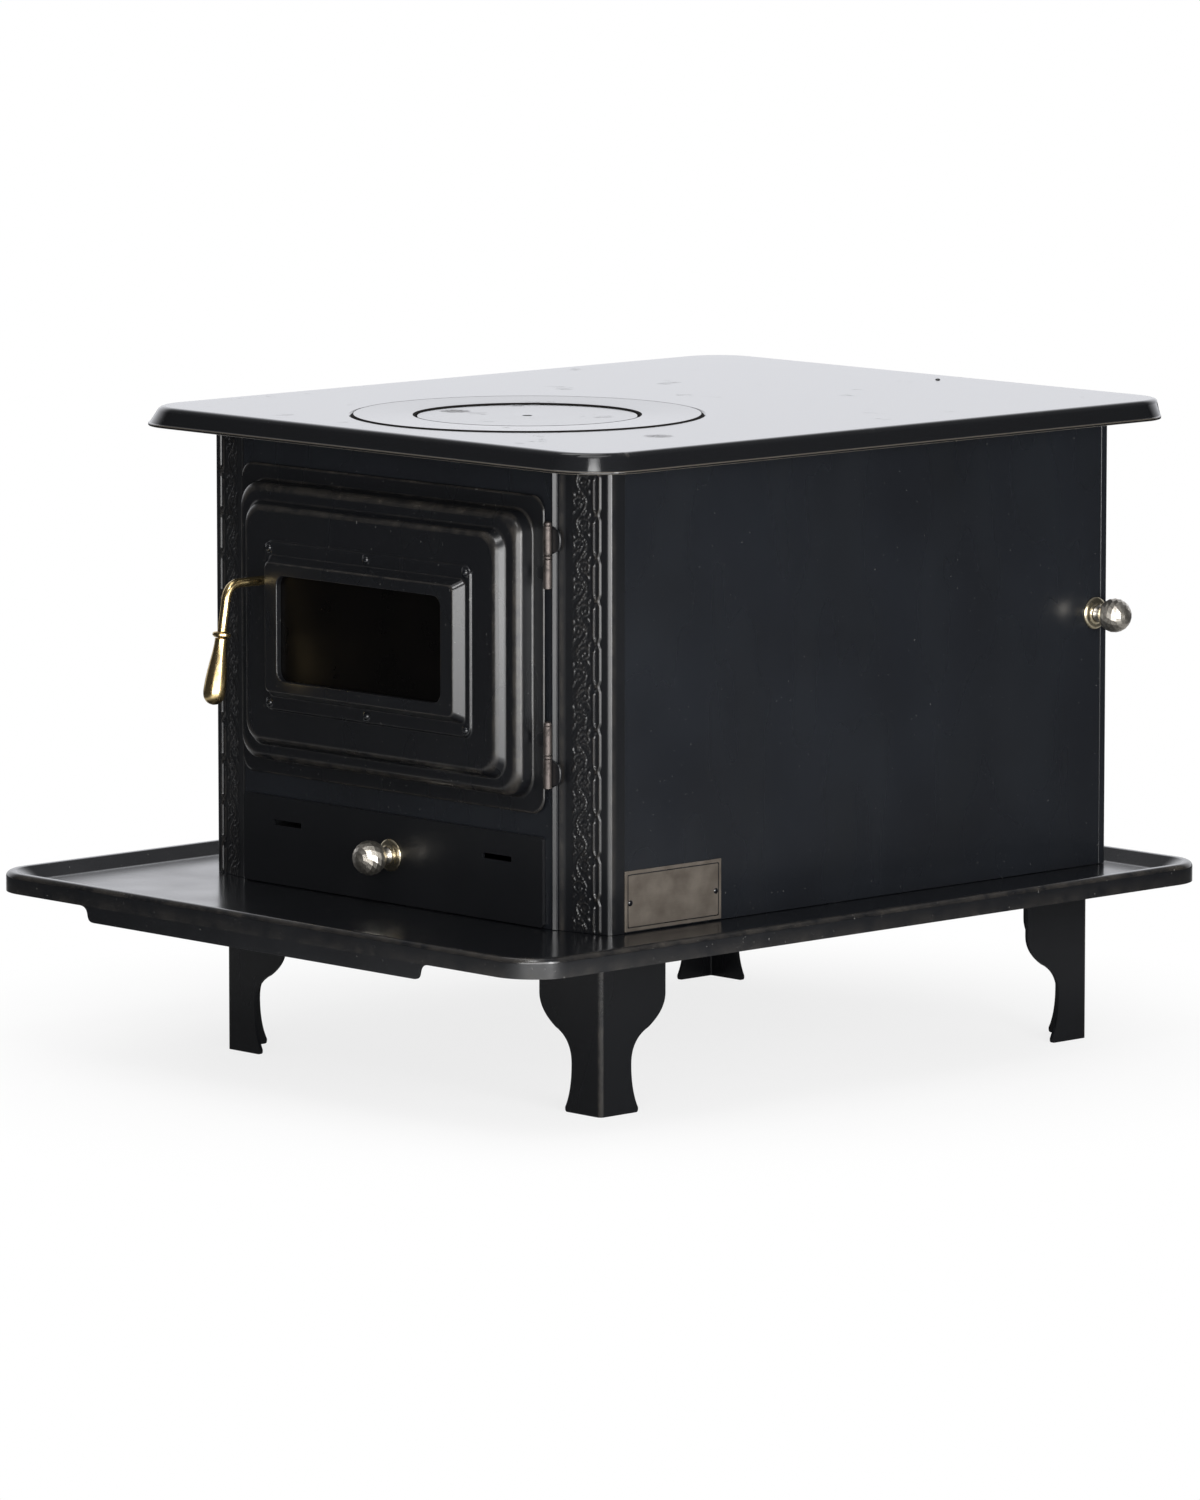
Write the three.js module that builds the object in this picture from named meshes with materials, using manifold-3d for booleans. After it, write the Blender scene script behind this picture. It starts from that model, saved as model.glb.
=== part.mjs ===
// A low steel wood and coal stove with a cooking top, standing on a wide hearth tray.
// Millimetres, +Z up. The front, with the glazed door and the ash drawer, faces -Y.
// The origin is on the floor, under the middle of the whole stove.
import * as THREE from 'three';
import { mergeVertices } from 'three/addons/utils/BufferGeometryUtils.js';
import Module from 'manifold-3d';

const wasm = await Module();
wasm.setup();

// ---------------------------------------------------------------- driving dimensions
const GAP = 0.3; // between pieces that touch
const STOVE_HEIGHT = 541;
const BODY_WIDTH = 478;
const BODY_DEPTH = 584; // front panel to rear panel
const SHEET = 2; // body sheet

const TRAY_APRON = 161; // how far the tray reaches in front of the front panel
const TRAY_SIDE_REACH = 93; // and beside the body
const TRAY_REAR_REACH = 32; // and behind it
const TRAY_FLOOR = 149; // height of the tray's flat above the ground
const TRAY_CORNER = 40;
const TRAY_CREST_WIDTH = 8;
const TRAY_RIM_WIDTH = 25;
const TRAY_RIM_RISE = 9; // rim crest above the flat
const TRAY_LIP = 16.5; // height of the turned-down outer lip
const TRAY_RIM_BEND = 4.5;
const TRAY_FLOOR_BEND = 8;
const INNER_CORNER = 3; // least corner radius inside a rim
const VALANCE_DROP = 13;
const VALANCE_WIDTH = 434;
const VALANCE_OGEE = 13;
const VALANCE_LAP = 4; // up behind the lip

const LEG_SHEET = 3;
const LEG_INSET = 11.5; // outer faces inside the body's sides
const LEG_SETBACK = 12; // front legs behind the front panel
const LEG_REAR_SETBACK = 9;
const LEG_TOP_WIDTH = 72;
const LEG_WAIST_WIDTH = 34;
const LEG_FOOT_WIDTH = 42;
const LEG_SHOULDER_Z = 88;
const LEG_WAIST_Z = 40;
const LEG_LUG_DEPTH = 26;
const LEG_TOE = 3; // the foot's corner is rounded off this far across
const LEG_TOE_RISE = 4; // and this far up
const LEG_TOE_LEAN = 0.5; // the foot's edge is narrower by this at the top of its corner
const LEG_FOOT_SWEEP = 18; // height at which the foot has swept in to the waist
const LEG_NECK_SLOPE = 4; // the neck's curve turns over this far above and below its middle
const LEG_SHOULDER_ROUND = 8; // the shoulder's curve, below its level
const LEG_SHOULDER_END = 6; // and above it

const PLATE_FRONT_LAP = 39; // how far the top plate overhangs the front panel
const PLATE_SIDE_LAP = 35;
const PLATE_REAR_LAP = 45;
const PLATE_SHEET = 4;
const PLATE_CORNER = 40;
const PLATE_SKIRT = 16;
const PLATE_FLARE = 9;
const PLATE_EDGE_RADIUS = 5;
const PLATE_HEM = 3; // thickened foot of the skirt
const PLATE_HEM_PROUD = 1.2;
const PLATE_HEM_RADIUS = 1;
const PLATE_RING_START = 14; // the flat top begins this far inside the edge

const RING_RADIUS = 145;
const LID_RADIUS = 91.5;
const RING_FROM_PLATE_FRONT = 183; // centre of the cooking rings
const RING_LEDGE = 11; // width of the ledge that a ring or lid rests on
const RING_CLEARANCE = 0.5; // round a ring or lid in its hole
const LEDGE_LAP = 8; // the ledge reaches this far under its plate
const LEDGE_SHEET = 3;
const LIFT_HOLE_RADIUS = 3.5;
const HOLE_FACETS = 40; // round every piece of the cooking hole

const COLUMN_WIDTH = 50; // corner strip, across
const COLUMN_SETBACK = 11; // its outer edge behind the front panel
const COLUMN_BEAD = 1.5; // its inner edge in front of the front panel
const COLUMN_BEAD_RADIUS = 2.4;
const COLUMN_CORNER_RADIUS = 5;
const COLUMN_INNER_TURN = 12;
const COLUMN_SIDE_TURN = 16;
const REAR_TURN = 8; // the rear panel's edges fold round onto the sides
const REAR_CORNER_RADIUS = 2.6;
const BASE_CLEARANCE = 1;
const BASE_FROM_COLUMN = 4; // clear of the bend in the corner strip

const DOOR_HINGE_MARGIN = 11.5; // between the door and the right corner strip
const DOOR_TOP_MARGIN = 42.5; // below the cooking surface
const DOOR_ABOVE_TRAY = 92.5;
const DOOR_STANDOFF = 0.8; // flange back to front panel
const DOOR_SHEET = 2.2;
const STEP1_INSET = 13;
const STEP1_RISE = 16;
const STEP2_INSET = 30.5;
const STEP2_RISE = 8.5;
const PANEL_INSET = 58.5;
const PANEL_RISE = 2;
const FRAME_INSET_X = 68; // raised frame of the window, inside the door's edge
const FRAME_INSET_Z = 74;
const FRAME_RISE = 9.5;
const PANE_INSET_X = 16; // window opening, inside the frame's edge
const PANE_INSET_Z = 11;
const PANE_CORNER = 9;
const GLASS_SHEET = 4;
const GLASS_CLEARANCE = 5; // pane edge inside the raised frame
const GLASS_CORNER = 3;
const GLASS_SEAL = 2.1;
const GLASS_SEAL_WIDTH = 8;
const RETAINER_LAP_X = 6; // retainer beyond the raised frame
const RETAINER_LAP_Z = 11;
const RETAINER_IN_PANE = 1; // and inside the window opening
const RETAINER_SHEET = 1.5;
const RETAINER_CORNER = 6;
const MOUTH_INSET_X = 33.5; // firebox mouth, inside the door's edge
const MOUTH_INSET_Z = 36.5;
const MOUTH_CORNER = 12;
const LINER_STANDOFF = 6.6; // door liner in front of the front panel
const LINER_SHEET = 1.5;
const LINER_CLEARANCE = 0.8;
const LINER_CORNER = 21;
const SEAL_WIDTH = 10;
const SEAL_CLEARANCE = 3; // seal round the firebox mouth

const HINGE_RADIUS = 3.4;
const HINGE_PIN_RADIUS = 1.9;
const PIN_CLEARANCE = 0.25;
const HINGE_FROM_DOOR = 8; // pin axis beside the door's flange
const HINGE_STANDOFF = 6.6; // pin axis in front of the front panel
const HINGE_KNUCKLE = 24;
const PIN_PROUD = 0.6; // pin past the lower knuckle
const PIN_HEAD = 3;
const HINGE_WASHER = 2.4;
const HINGE_SPREAD = 161; // between the washers of the two hinges
const HINGE_LEAF = 1.8;
const HINGE_LEAF_REACH = 16;
const HINGE_LEAF_END = 5.5; // half the height of its rounded end
const HINGE_BODY_LEAF = 2.4;
const HINGE_BODY_REACH = 12;
const HINGE_BODY_END = 9;

const HANDLE_FROM_EDGE = 56; // spindle from the door's left edge
const HANDLE_ABOVE_CENTRE = 36;
const HANDLE_ROD_RADIUS = 3.3;
const HANDLE_REACH = 37; // rod in front of the door
const HANDLE_BEND = 10;
const HANDLE_LEAN = 10; // degrees, grip leaning out at its foot
const HANDLE_DROP = 39; // elbow down to the collar
const COLLAR_RADIUS = 7.6;
const COLLAR_NECK = 5.4;
const COLLAR_HEIGHT = 5;
const GRIP_LENGTH = 55;
const GRIP_RADIUS = 9.2;
const GRIP_NECK = 5;
const CAM_SHEET = 4;
const CAM_HUB = 8;
const CAM_NOSE = 5; // half the height of its nose
const CAM_CLEARANCE = 2.5; // nose to the edge of the firebox mouth
const CAM_BEHIND = 1; // cam behind the front panel's face
const ROD_PAST_CAM = 0.5;

const DRAWER_FRONT_HEIGHT = 73;
const DRAWER_FRONT_LIFT = 1; // above the tray
const DRAWER_FRONT_INSET = 1.5; // narrower than the door on each side
const DRAWER_FRONT_SHEET = 3;
const DRAWER_FRONT_CORNER = 3;
const DRAWER_MOUTH_CORNER = 2;
const DRAWER_HALF_WIDTH = 152;
const DRAWER_HEIGHT = 52;
const DRAWER_DEPTH = 400;
const DRAWER_SHEET = 1.5;
const DRAWER_CLEARANCE = 3;
const RUNNER_SHEET = 2;
const RUNNER_FOOT = 17;
const RUNNER_LEAF = 22;
const RUNNER_CLEARANCE = 1;
const RUNNER_START = 19; // behind the front panel
const RUNNER_BEYOND = 9; // past the drawer's rear wall
const SLOT_LENGTH = 34.5;
const SLOT_HEIGHT = 4.6;
const SLOT_CORNER = 0.5;
const SLOT_FROM_CENTRE = 127.5;
const SLOT_BELOW_TOP = 21.5;
const SLOT_NOTCH = 3; // the drawer box is notched this much wider behind each slot
const DRAWER_KNOB_BELOW_TOP = 33.5;

const KNOB_RADIUS = 13.7;
const KNOB_THICKNESS = 22;
const KNOB_CENTRE = 25.5; // ball centre in front of what it is fixed to
const KNOB_FOOT = 6.6;
const KNOB_NECK = 4.6;
const ROSE_RADIUS = 13.4;
const ROSE_HEIGHT = 3.6;

const SHELF_ABOVE_TRAY = 82;
const SHELF_SHEET = 3;
const SHELF_CLEARANCE = 2.5; // from the bend in the corner strip
const GRATE_HALF_WIDTH = 120;
const GRATE_FRONT_SHELF = 60; // shelf in front of the grate
const GRATE_REAR_SHELF = 70;
const GRATE_THICKNESS = 12;
const GRATE_CORNER = 6;
const GRATE_SEAT_CORNER = 4;
const GRATE_LAP = 10;
const GRATE_BRIDGE = 2; // added to the solid bar across the middle
const GRATE_SLOT = 10;
const GRATE_BAR = 13;
const BRICK = 30;
const BRICK_HEIGHT = 186;
const FIREBOX_START = 30; // bricks behind the front panel
const SMOKE_SPACE = 124; // between the rear bricks and the rear panel
const BAFFLE_SHEET = 4;
const BAFFLE_START = 130;

const FLUE_RADIUS = 60;
const FLUE_SHEET = 2;
const FLUE_REACH = 67; // behind the rear panel
const FLUE_BELOW_TOP = 179;
const FLUE_CRIMP = 6; // the collar's end is drawn in a little
const FLUE_FLANGE = 22;
const FLANGE_SHEET = 2.5;
const DAMPER_FROM_REAR = 15; // shaft in front of the rear face
const DAMPER_SHAFT_RADIUS = 3;
const SHAFT_CLEARANCE = 0.5;
const SHAFT_IN_KNOB = 10;
const SHAFT_TAIL = 6; // past the collar on the far side
const DAMPER_FLAP = 1.6;
const FLAP_CLEARANCE = 2.5;
const FLAP_CHANNEL_INSET = 14;

const NAME_PLATE_WIDTH = 107;
const NAME_PLATE_HEIGHT = 49;
const NAME_PLATE_FROM_FRONT = 27;
const NAME_PLATE_LIFT = 1.5;
const NAME_PLATE_SHEET = 0.8;

// ---------------------------------------------------------------- places worked out from them
const halfBody = BODY_WIDTH / 2;
const trayFrontY = -(TRAY_APRON + BODY_DEPTH + FLUE_REACH) / 2;
const frontY = trayFrontY + TRAY_APRON;
const rearY = frontY + BODY_DEPTH;
const wallFoot = TRAY_FLOOR + GAP;
const plateUnder = STOVE_HEIGHT - PLATE_SHEET;
const wallTop = plateUnder - GAP;
const plateFrontY = frontY - PLATE_FRONT_LAP;
const ringY = plateFrontY + RING_FROM_PLATE_FRONT;
const columnInner = halfBody - COLUMN_WIDTH;
const columnBackY = frontY + COLUMN_SETBACK + SHEET;

const doorX = -DOOR_HINGE_MARGIN / 2;
const doorHalfWidth = columnInner - DOOR_HINGE_MARGIN / 2;
const doorFootZ = TRAY_FLOOR + DOOR_ABOVE_TRAY;
const doorTopZ = STOVE_HEIGHT - DOOR_TOP_MARGIN;
const doorZ = (doorFootZ + doorTopZ) / 2;
const doorHalfHeight = (doorTopZ - doorFootZ) / 2;
const flangeFaceY = frontY - DOOR_STANDOFF - DOOR_SHEET;
const frameHalfWidth = doorHalfWidth - FRAME_INSET_X;
const frameHalfHeight = doorHalfHeight - FRAME_INSET_Z;
const paneHalfWidth = frameHalfWidth - PANE_INSET_X;
const paneHalfHeight = frameHalfHeight - PANE_INSET_Z;
const mouthHalfWidth = doorHalfWidth - MOUTH_INSET_X;
const mouthHalfHeight = doorHalfHeight - MOUTH_INSET_Z;
// The edge round the window is turned in until it meets the glass, which its seal holds forward.
const paneTurn = DOOR_SHEET + FRAME_RISE - GLASS_SHEET - GLASS_SEAL - 2 * GAP;

const flueZ = STOVE_HEIGHT - FLUE_BELOW_TOP;
const damperY = rearY - DAMPER_FROM_REAR;
const flapRadius = FLUE_RADIUS - FLUE_SHEET - FLAP_CLEARANCE;

// ---------------------------------------------------------------- finishes
function finish(color, roughness, metalness) {
  return new THREE.MeshStandardMaterial({ color, roughness, metalness });
}
const enamel = () => finish(0x1b1d1f, 0.35, 0.2);
const castIron = () => finish(0x2a2a2b, 0.7, 0.4);
const zincSteel = () => finish(0x6f7276, 0.45, 0.9);
const brass = () => finish(0xc2a25c, 0.3, 1);
const nickel = () => finish(0xb0a795, 0.3, 1);
const rope = () => finish(0xb9b4a8, 0.95, 0);
const fireBrick = () => finish(0xb59a74, 0.95, 0);
const ceramicGlass = () => finish(0x14110d, 0.08, 0);
const plateMetal = () => finish(0x6e6558, 0.45, 0.8);

// ---------------------------------------------------------------- shape helpers
const group = new THREE.Group();
function add(name, geometry, material) {
  const mesh = new THREE.Mesh(geometry, material);
  mesh.name = name;
  group.add(mesh);
  return mesh;
}

function block(x0, x1, y0, y1, z0, z1) {
  const box = new THREE.BoxGeometry(x1 - x0, y1 - y0, z1 - z0);
  return box.translate((x0 + x1) / 2, (y0 + y1) / 2, (z0 + z1) / 2);
}

function toSolid(geometry) {
  const bare = geometry.clone();
  bare.deleteAttribute('normal');
  bare.deleteAttribute('uv');
  const welded = mergeVertices(bare, 1e-4);
  return new wasm.Manifold(new wasm.Mesh({
    numProp: 3,
    vertProperties: new Float32Array(welded.attributes.position.array),
    triVerts: new Uint32Array(welded.index.array),
  }));
}

function toGeometry(solid) {
  const mesh = solid.getMesh();
  const geometry = new THREE.BufferGeometry();
  geometry.setAttribute('position', new THREE.BufferAttribute(new Float32Array(mesh.vertProperties), 3));
  geometry.setIndex(new THREE.BufferAttribute(new Uint32Array(mesh.triVerts), 1));
  geometry.computeVertexNormals();
  return geometry;
}

const cut = (body, ...tools) => toGeometry(tools.reduce((s, t) => s.subtract(toSolid(t)), toSolid(body)));
const join = (body, ...others) => toGeometry(others.reduce((s, t) => s.add(toSolid(t)), toSolid(body)));

// A flat outline thickened: drawn in X and Z it grows along +Y, in Y and Z along +X.
function thicken(outline, depth, steps = 6) {
  return new THREE.ExtrudeGeometry(outline, { depth, bevelEnabled: false, curveSegments: steps });
}
function sheetXZ(outline, y, depth, steps) {
  return thicken(outline, depth, steps).rotateX(Math.PI / 2).translate(0, y + depth, 0);
}
function sheetYZ(outline, x, depth, steps) {
  const turn = new THREE.Matrix4().makeBasis(
    new THREE.Vector3(0, 1, 0), new THREE.Vector3(0, 0, 1), new THREE.Vector3(1, 0, 0));
  return thicken(outline, depth, steps).applyMatrix4(turn).translate(x, 0, 0);
}

function roundedOutline(cx, cy, a, b, r, Kind = THREE.Shape) {
  const path = new Kind();
  path.moveTo(cx - a + r, cy - b);
  path.lineTo(cx + a - r, cy - b);
  path.absarc(cx + a - r, cy - b + r, r, -Math.PI / 2, 0, false);
  path.lineTo(cx + a, cy + b - r);
  path.absarc(cx + a - r, cy + b - r, r, 0, Math.PI / 2, false);
  path.lineTo(cx - a + r, cy + b);
  path.absarc(cx - a + r, cy + b - r, r, Math.PI / 2, Math.PI, false);
  path.lineTo(cx - a, cy - b + r);
  path.absarc(cx - a + r, cy - b + r, r, Math.PI, Math.PI * 1.5, false);
  return path;
}

// A frame of rectangular section, such as a seal or a retainer, in the plane of the door.
function frameXZ(cx, cz, a, b, r, width, y, depth) {
  const outline = roundedOutline(cx, cz, a, b, r);
  outline.holes.push(roundedOutline(cx, cz, a - width, b - width, Math.max(r - width, 1), THREE.Path));
  return sheetXZ(outline, y, depth, 3);
}

// Points round a rectangle with round corners, anticlockwise.
function rectangleRing(a, b, r, steps) {
  const ring = [];
  const corners = [[a - r, b - r, 0], [r - a, b - r, 1], [r - a, r - b, 2], [a - r, r - b, 3]];
  for (const [x, y, quarter] of corners) {
    for (let i = 0; i <= steps; i += 1) {
      const angle = (quarter + i / steps) * Math.PI / 2;
      ring.push([x + r * Math.cos(angle), y + r * Math.sin(angle)]);
    }
  }
  return ring;
}

// Skin through a stack of rings of equal count. Open stacks are capped at both ends;
// a stack that closes on itself is a tube. Faces are turned to point outwards.
function skin(rings, closed) {
  const count = rings[0].length;
  const positions = rings.flat(2);
  const index = [];
  const last = closed ? rings.length : rings.length - 1;
  for (let i = 0; i < last; i += 1) {
    const next = (i + 1) % rings.length;
    for (let j = 0; j < count; j += 1) {
      const k = (j + 1) % count;
      const [p, q, s, t] = [i * count + j, i * count + k, next * count + k, next * count + j];
      index.push(p, q, s, p, s, t);
    }
  }
  if (!closed) {
    const end = (rings.length - 1) * count;
    for (let j = 1; j < count - 1; j += 1) {
      index.push(0, j + 1, j, end, end + j, end + j + 1);
    }
  }
  const geometry = new THREE.BufferGeometry();
  geometry.setAttribute('position', new THREE.Float32BufferAttribute(positions, 3));
  geometry.setIndex(index);
  if (signedVolume(geometry) < 0) {
    index.reverse();
    geometry.setIndex(index);
  }
  geometry.computeVertexNormals();
  return geometry;
}

function signedVolume(geometry) {
  const p = geometry.attributes.position;
  const [a, b, c] = [new THREE.Vector3(), new THREE.Vector3(), new THREE.Vector3()];
  let sum = 0;
  for (let i = 0; i < geometry.index.count; i += 3) {
    a.fromBufferAttribute(p, geometry.index.getX(i));
    b.fromBufferAttribute(p, geometry.index.getX(i + 1));
    c.fromBufferAttribute(p, geometry.index.getX(i + 2));
    sum += a.dot(b.cross(c)) / 6;
  }
  return sum;
}

// Rounds the inner corners of an open path: [x, y, radius] each, radius 0 keeps a corner sharp.
function roundPath(points, steps) {
  const path = [];
  points.forEach(([x, y, radius = 0], i) => {
    if (!radius || i === 0 || i === points.length - 1) {
      path.push([x, y]);
      return;
    }
    const corner = new THREE.Vector2(x, y);
    const back = new THREE.Vector2(points[i - 1][0], points[i - 1][1]).sub(corner).normalize();
    const on = new THREE.Vector2(points[i + 1][0], points[i + 1][1]).sub(corner).normalize();
    const half = Math.acos(THREE.MathUtils.clamp(back.dot(on), -1, 1)) / 2;
    const centre = back.clone().add(on).normalize().multiplyScalar(radius / Math.sin(half)).add(corner);
    const from = back.multiplyScalar(radius / Math.tan(half)).add(corner).sub(centre);
    const to = on.multiplyScalar(radius / Math.tan(half)).add(corner).sub(centre);
    const sweep = Math.atan2(from.cross(to), from.dot(to));
    for (let k = 0; k <= steps; k += 1) {
      const spoke = from.clone().rotateAround(new THREE.Vector2(), sweep * k / steps);
      path.push([centre.x + spoke.x, centre.y + spoke.y]);
    }
  });
  return path;
}

// The same path moved sideways, to its left, by a sheet's thickness; radii change to match.
function offsetPath(points, distance) {
  const line = (i) => {
    const from = new THREE.Vector2(points[i][0], points[i][1]);
    const along = new THREE.Vector2(points[i + 1][0], points[i + 1][1]).sub(from).normalize();
    const left = new THREE.Vector2(-along.y, along.x).multiplyScalar(distance);
    return { from: from.add(left), along };
  };
  return points.map(([x, y, radius = 0], i) => {
    if (i === 0 || i === points.length - 1) {
      const { from, along } = line(i === 0 ? 0 : i - 1);
      const end = i === 0 ? from : from.add(along.multiplyScalar(
        Math.hypot(x - points[i - 1][0], y - points[i - 1][1])));
      return [end.x, end.y, 0];
    }
    const [a, b] = [line(i - 1), line(i)];
    const turn = a.along.cross(b.along);
    const reach = b.from.clone().sub(a.from).cross(b.along) / turn;
    const inner = radius ? Math.max(radius - Math.sign(turn) * distance, 0.4) : 0;
    return [a.from.x + a.along.x * reach, a.from.y + a.along.y * reach, inner];
  });
}

// A bent sheet: a section path with its thickness to the left, carried straight up in Z.
function bentSheet(path, thickness, z0, z1, steps = 4) {
  const outer = roundPath(path, steps);
  const inner = roundPath(offsetPath(path, thickness), steps).reverse();
  const outline = new THREE.Shape([...outer, ...inner].map(([x, y]) => new THREE.Vector2(x, y)));
  return thicken(outline, z1 - z0).translate(0, 0, z0);
}

const mirrorX = (points) => points.map(([x, y, r]) => [-x, y, r]).reverse();

function turned(profile, segments) {
  return new THREE.LatheGeometry(profile.map(([r, h]) => new THREE.Vector2(r, h)), segments);
}
// A turned piece stands on Y as made; these lay its axis along +Z, -Y or +X.
const upright = (geometry) => geometry.rotateX(Math.PI / 2);
const facingFront = (geometry) => geometry.rotateX(Math.PI);
const alongX = (geometry) => geometry.rotateZ(-Math.PI / 2);

function rod(radius, length, segments = 20) {
  return new THREE.CylinderGeometry(radius, radius, length, segments);
}

function disc(radius, z0, z1) {
  return upright(rod(radius, z1 - z0, HOLE_FACETS)).translate(0, ringY, (z0 + z1) / 2);
}

// ---------------------------------------------------------------- hearth tray and legs
function hearthTray() {
  const halfWidth = halfBody + TRAY_SIDE_REACH;
  const halfDepth = (TRAY_APRON + BODY_DEPTH + TRAY_REAR_REACH) / 2;
  const crest = TRAY_FLOOR + TRAY_RIM_RISE;
  const lipFoot = crest - TRAY_LIP;
  // Inset from the outline against height: lip, crest, slope down to the flat.
  const path = [
    [0, lipFoot],
    [0, crest, TRAY_RIM_BEND],
    [TRAY_CREST_WIDTH, crest, TRAY_RIM_BEND],
    [TRAY_RIM_WIDTH, TRAY_FLOOR, TRAY_FLOOR_BEND],
    [TRAY_RIM_WIDTH + TRAY_FLOOR_BEND, TRAY_FLOOR],
  ];
  const top = roundPath(path, 2);
  const under = roundPath(offsetPath(path, -SHEET), 2);
  const rings = [...top.reverse(), ...under].map(([inset, z]) => {
    const radius = Math.max(TRAY_CORNER - inset, INNER_CORNER);
    const ring = rectangleRing(halfWidth - inset, halfDepth - inset, radius, 4);
    return ring.map(([x, y]) => [x, y + trayFrontY + halfDepth, z]);
  });
  const valance = new THREE.Shape();
  const half = VALANCE_WIDTH / 2;
  const foot = lipFoot - VALANCE_DROP;
  valance.moveTo(-half, lipFoot + VALANCE_LAP);
  valance.lineTo(-half, lipFoot);
  valance.bezierCurveTo(-half + VALANCE_OGEE, lipFoot, -half, foot, -half + VALANCE_OGEE, foot);
  valance.lineTo(half - VALANCE_OGEE, foot);
  valance.bezierCurveTo(half, foot, half - VALANCE_OGEE, lipFoot, half, lipFoot);
  valance.lineTo(half, lipFoot + VALANCE_LAP);
  return join(skin(rings, false), sheetXZ(valance, trayFrontY, SHEET, 8));
}
add('hearth_tray', hearthTray(), enamel());

// One leaf of a leg, in its own plane: straight at the top, drawn in to a waist, flared at the foot.
function legLeaf(top) {
  const leaf = new THREE.Shape();
  const neckZ = (LEG_SHOULDER_Z + LEG_WAIST_Z) / 2;
  const mid = (LEG_TOP_WIDTH + LEG_WAIST_WIDTH) / 2;
  leaf.moveTo(0, 0);
  leaf.lineTo(LEG_FOOT_WIDTH - LEG_TOE, 0);
  leaf.quadraticCurveTo(LEG_FOOT_WIDTH, 0, LEG_FOOT_WIDTH - LEG_TOE_LEAN, LEG_TOE_RISE);
  leaf.quadraticCurveTo(LEG_WAIST_WIDTH, LEG_FOOT_SWEEP, LEG_WAIST_WIDTH, LEG_WAIST_Z);
  leaf.quadraticCurveTo(LEG_WAIST_WIDTH, neckZ - LEG_NECK_SLOPE, mid, neckZ + LEG_NECK_SLOPE);
  leaf.quadraticCurveTo(LEG_TOP_WIDTH, LEG_SHOULDER_Z - LEG_SHOULDER_ROUND,
    LEG_TOP_WIDTH, LEG_SHOULDER_Z + LEG_SHOULDER_END);
  leaf.lineTo(LEG_TOP_WIDTH, top);
  leaf.lineTo(0, top);
  return leaf;
}

function leg(sideX, sideY) {
  const top = TRAY_FLOOR - SHEET - GAP;
  const across = sheetXZ(legLeaf(top), 0, LEG_SHEET, 5);
  const along = sheetYZ(legLeaf(top), 0, LEG_SHEET, 5);
  const lug = block(LEG_SHEET / 2, LEG_LUG_DEPTH, LEG_SHEET / 2, LEG_LUG_DEPTH, top - LEG_SHEET, top);
  const solid = toSolid(join(across, along, lug));
  const placed = solid.scale([sideX, sideY, 1]).translate([
    -sideX * (halfBody - LEG_INSET),
    sideY > 0 ? frontY + LEG_SETBACK : rearY - LEG_REAR_SETBACK,
    0,
  ]);
  return toGeometry(placed);
}
for (const [name, sideX, sideY] of [
  ['leg_front_left', 1, 1], ['leg_front_right', -1, 1], ['leg_rear_left', 1, -1], ['leg_rear_right', -1, -1],
]) {
  add(name, leg(sideX, sideY), enamel());
}

// ---------------------------------------------------------------- casing
const baseHalf = halfBody - SHEET - BASE_CLEARANCE;
add('base_plate', block(-baseHalf, baseHalf, columnBackY + BASE_FROM_COLUMN,
  rearY - SHEET - BASE_CLEARANCE, wallFoot, wallFoot + SHEET), enamel());

// Corner strip from its inner turn, over the bead, across the face and round onto the side.
const columnPath = [
  [columnInner + GAP, frontY + COLUMN_INNER_TURN],
  [columnInner + GAP, frontY - COLUMN_BEAD, COLUMN_BEAD_RADIUS],
  [halfBody, frontY + COLUMN_SETBACK, COLUMN_CORNER_RADIUS],
  [halfBody, frontY + COLUMN_SETBACK + COLUMN_SIDE_TURN],
];
add('column_right', bentSheet(columnPath, SHEET, wallFoot, wallTop), enamel());
add('column_left', bentSheet(mirrorX(columnPath), SHEET, wallFoot, wallTop), enamel());

function frontPanel() {
  const outline = new THREE.Shape();
  outline.moveTo(-columnInner, wallFoot);
  outline.lineTo(columnInner, wallFoot);
  outline.lineTo(columnInner, wallTop);
  outline.lineTo(-columnInner, wallTop);
  outline.holes.push(roundedOutline(doorX, doorZ, mouthHalfWidth, mouthHalfHeight, MOUTH_CORNER, THREE.Path));
  const drawerMid = drawerFloor + DRAWER_HEIGHT / 2;
  outline.holes.push(roundedOutline(doorX, drawerMid, DRAWER_HALF_WIDTH + DRAWER_CLEARANCE,
    DRAWER_HEIGHT / 2 + DRAWER_CLEARANCE, DRAWER_MOUTH_CORNER, THREE.Path));
  // The cooking hole reaches right to the front, so the panel's top edge is relieved for its ledge.
  const relief = disc(RING_RADIUS + LEDGE_LAP + GAP, plateUnder - LEDGE_SHEET - GAP, STOVE_HEIGHT);
  return cut(sheetXZ(outline, frontY, SHEET, 4), relief);
}
const runnerTop = wallFoot + SHEET + GAP + RUNNER_SHEET;
const drawerFloor = runnerTop + GAP;
add('front_panel', frontPanel(), enamel());

function damperShaftHole() {
  return alongX(rod(DAMPER_SHAFT_RADIUS + SHAFT_CLEARANCE, 2 * BODY_WIDTH, 20)).translate(0, damperY, flueZ);
}

const sideStart = frontY + COLUMN_SETBACK + COLUMN_SIDE_TURN + GAP;
const sideEnd = rearY - REAR_TURN - GAP;
function sidePanel(x) {
  const wall = block(x, x + SHEET, sideStart, sideEnd, wallFoot, wallTop);
  if (x < 0) {
    return wall;
  }
  return cut(wall, damperShaftHole());
}
add('side_panel_left', sidePanel(-halfBody), enamel());

add('side_panel_right', sidePanel(halfBody - SHEET), enamel());

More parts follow.
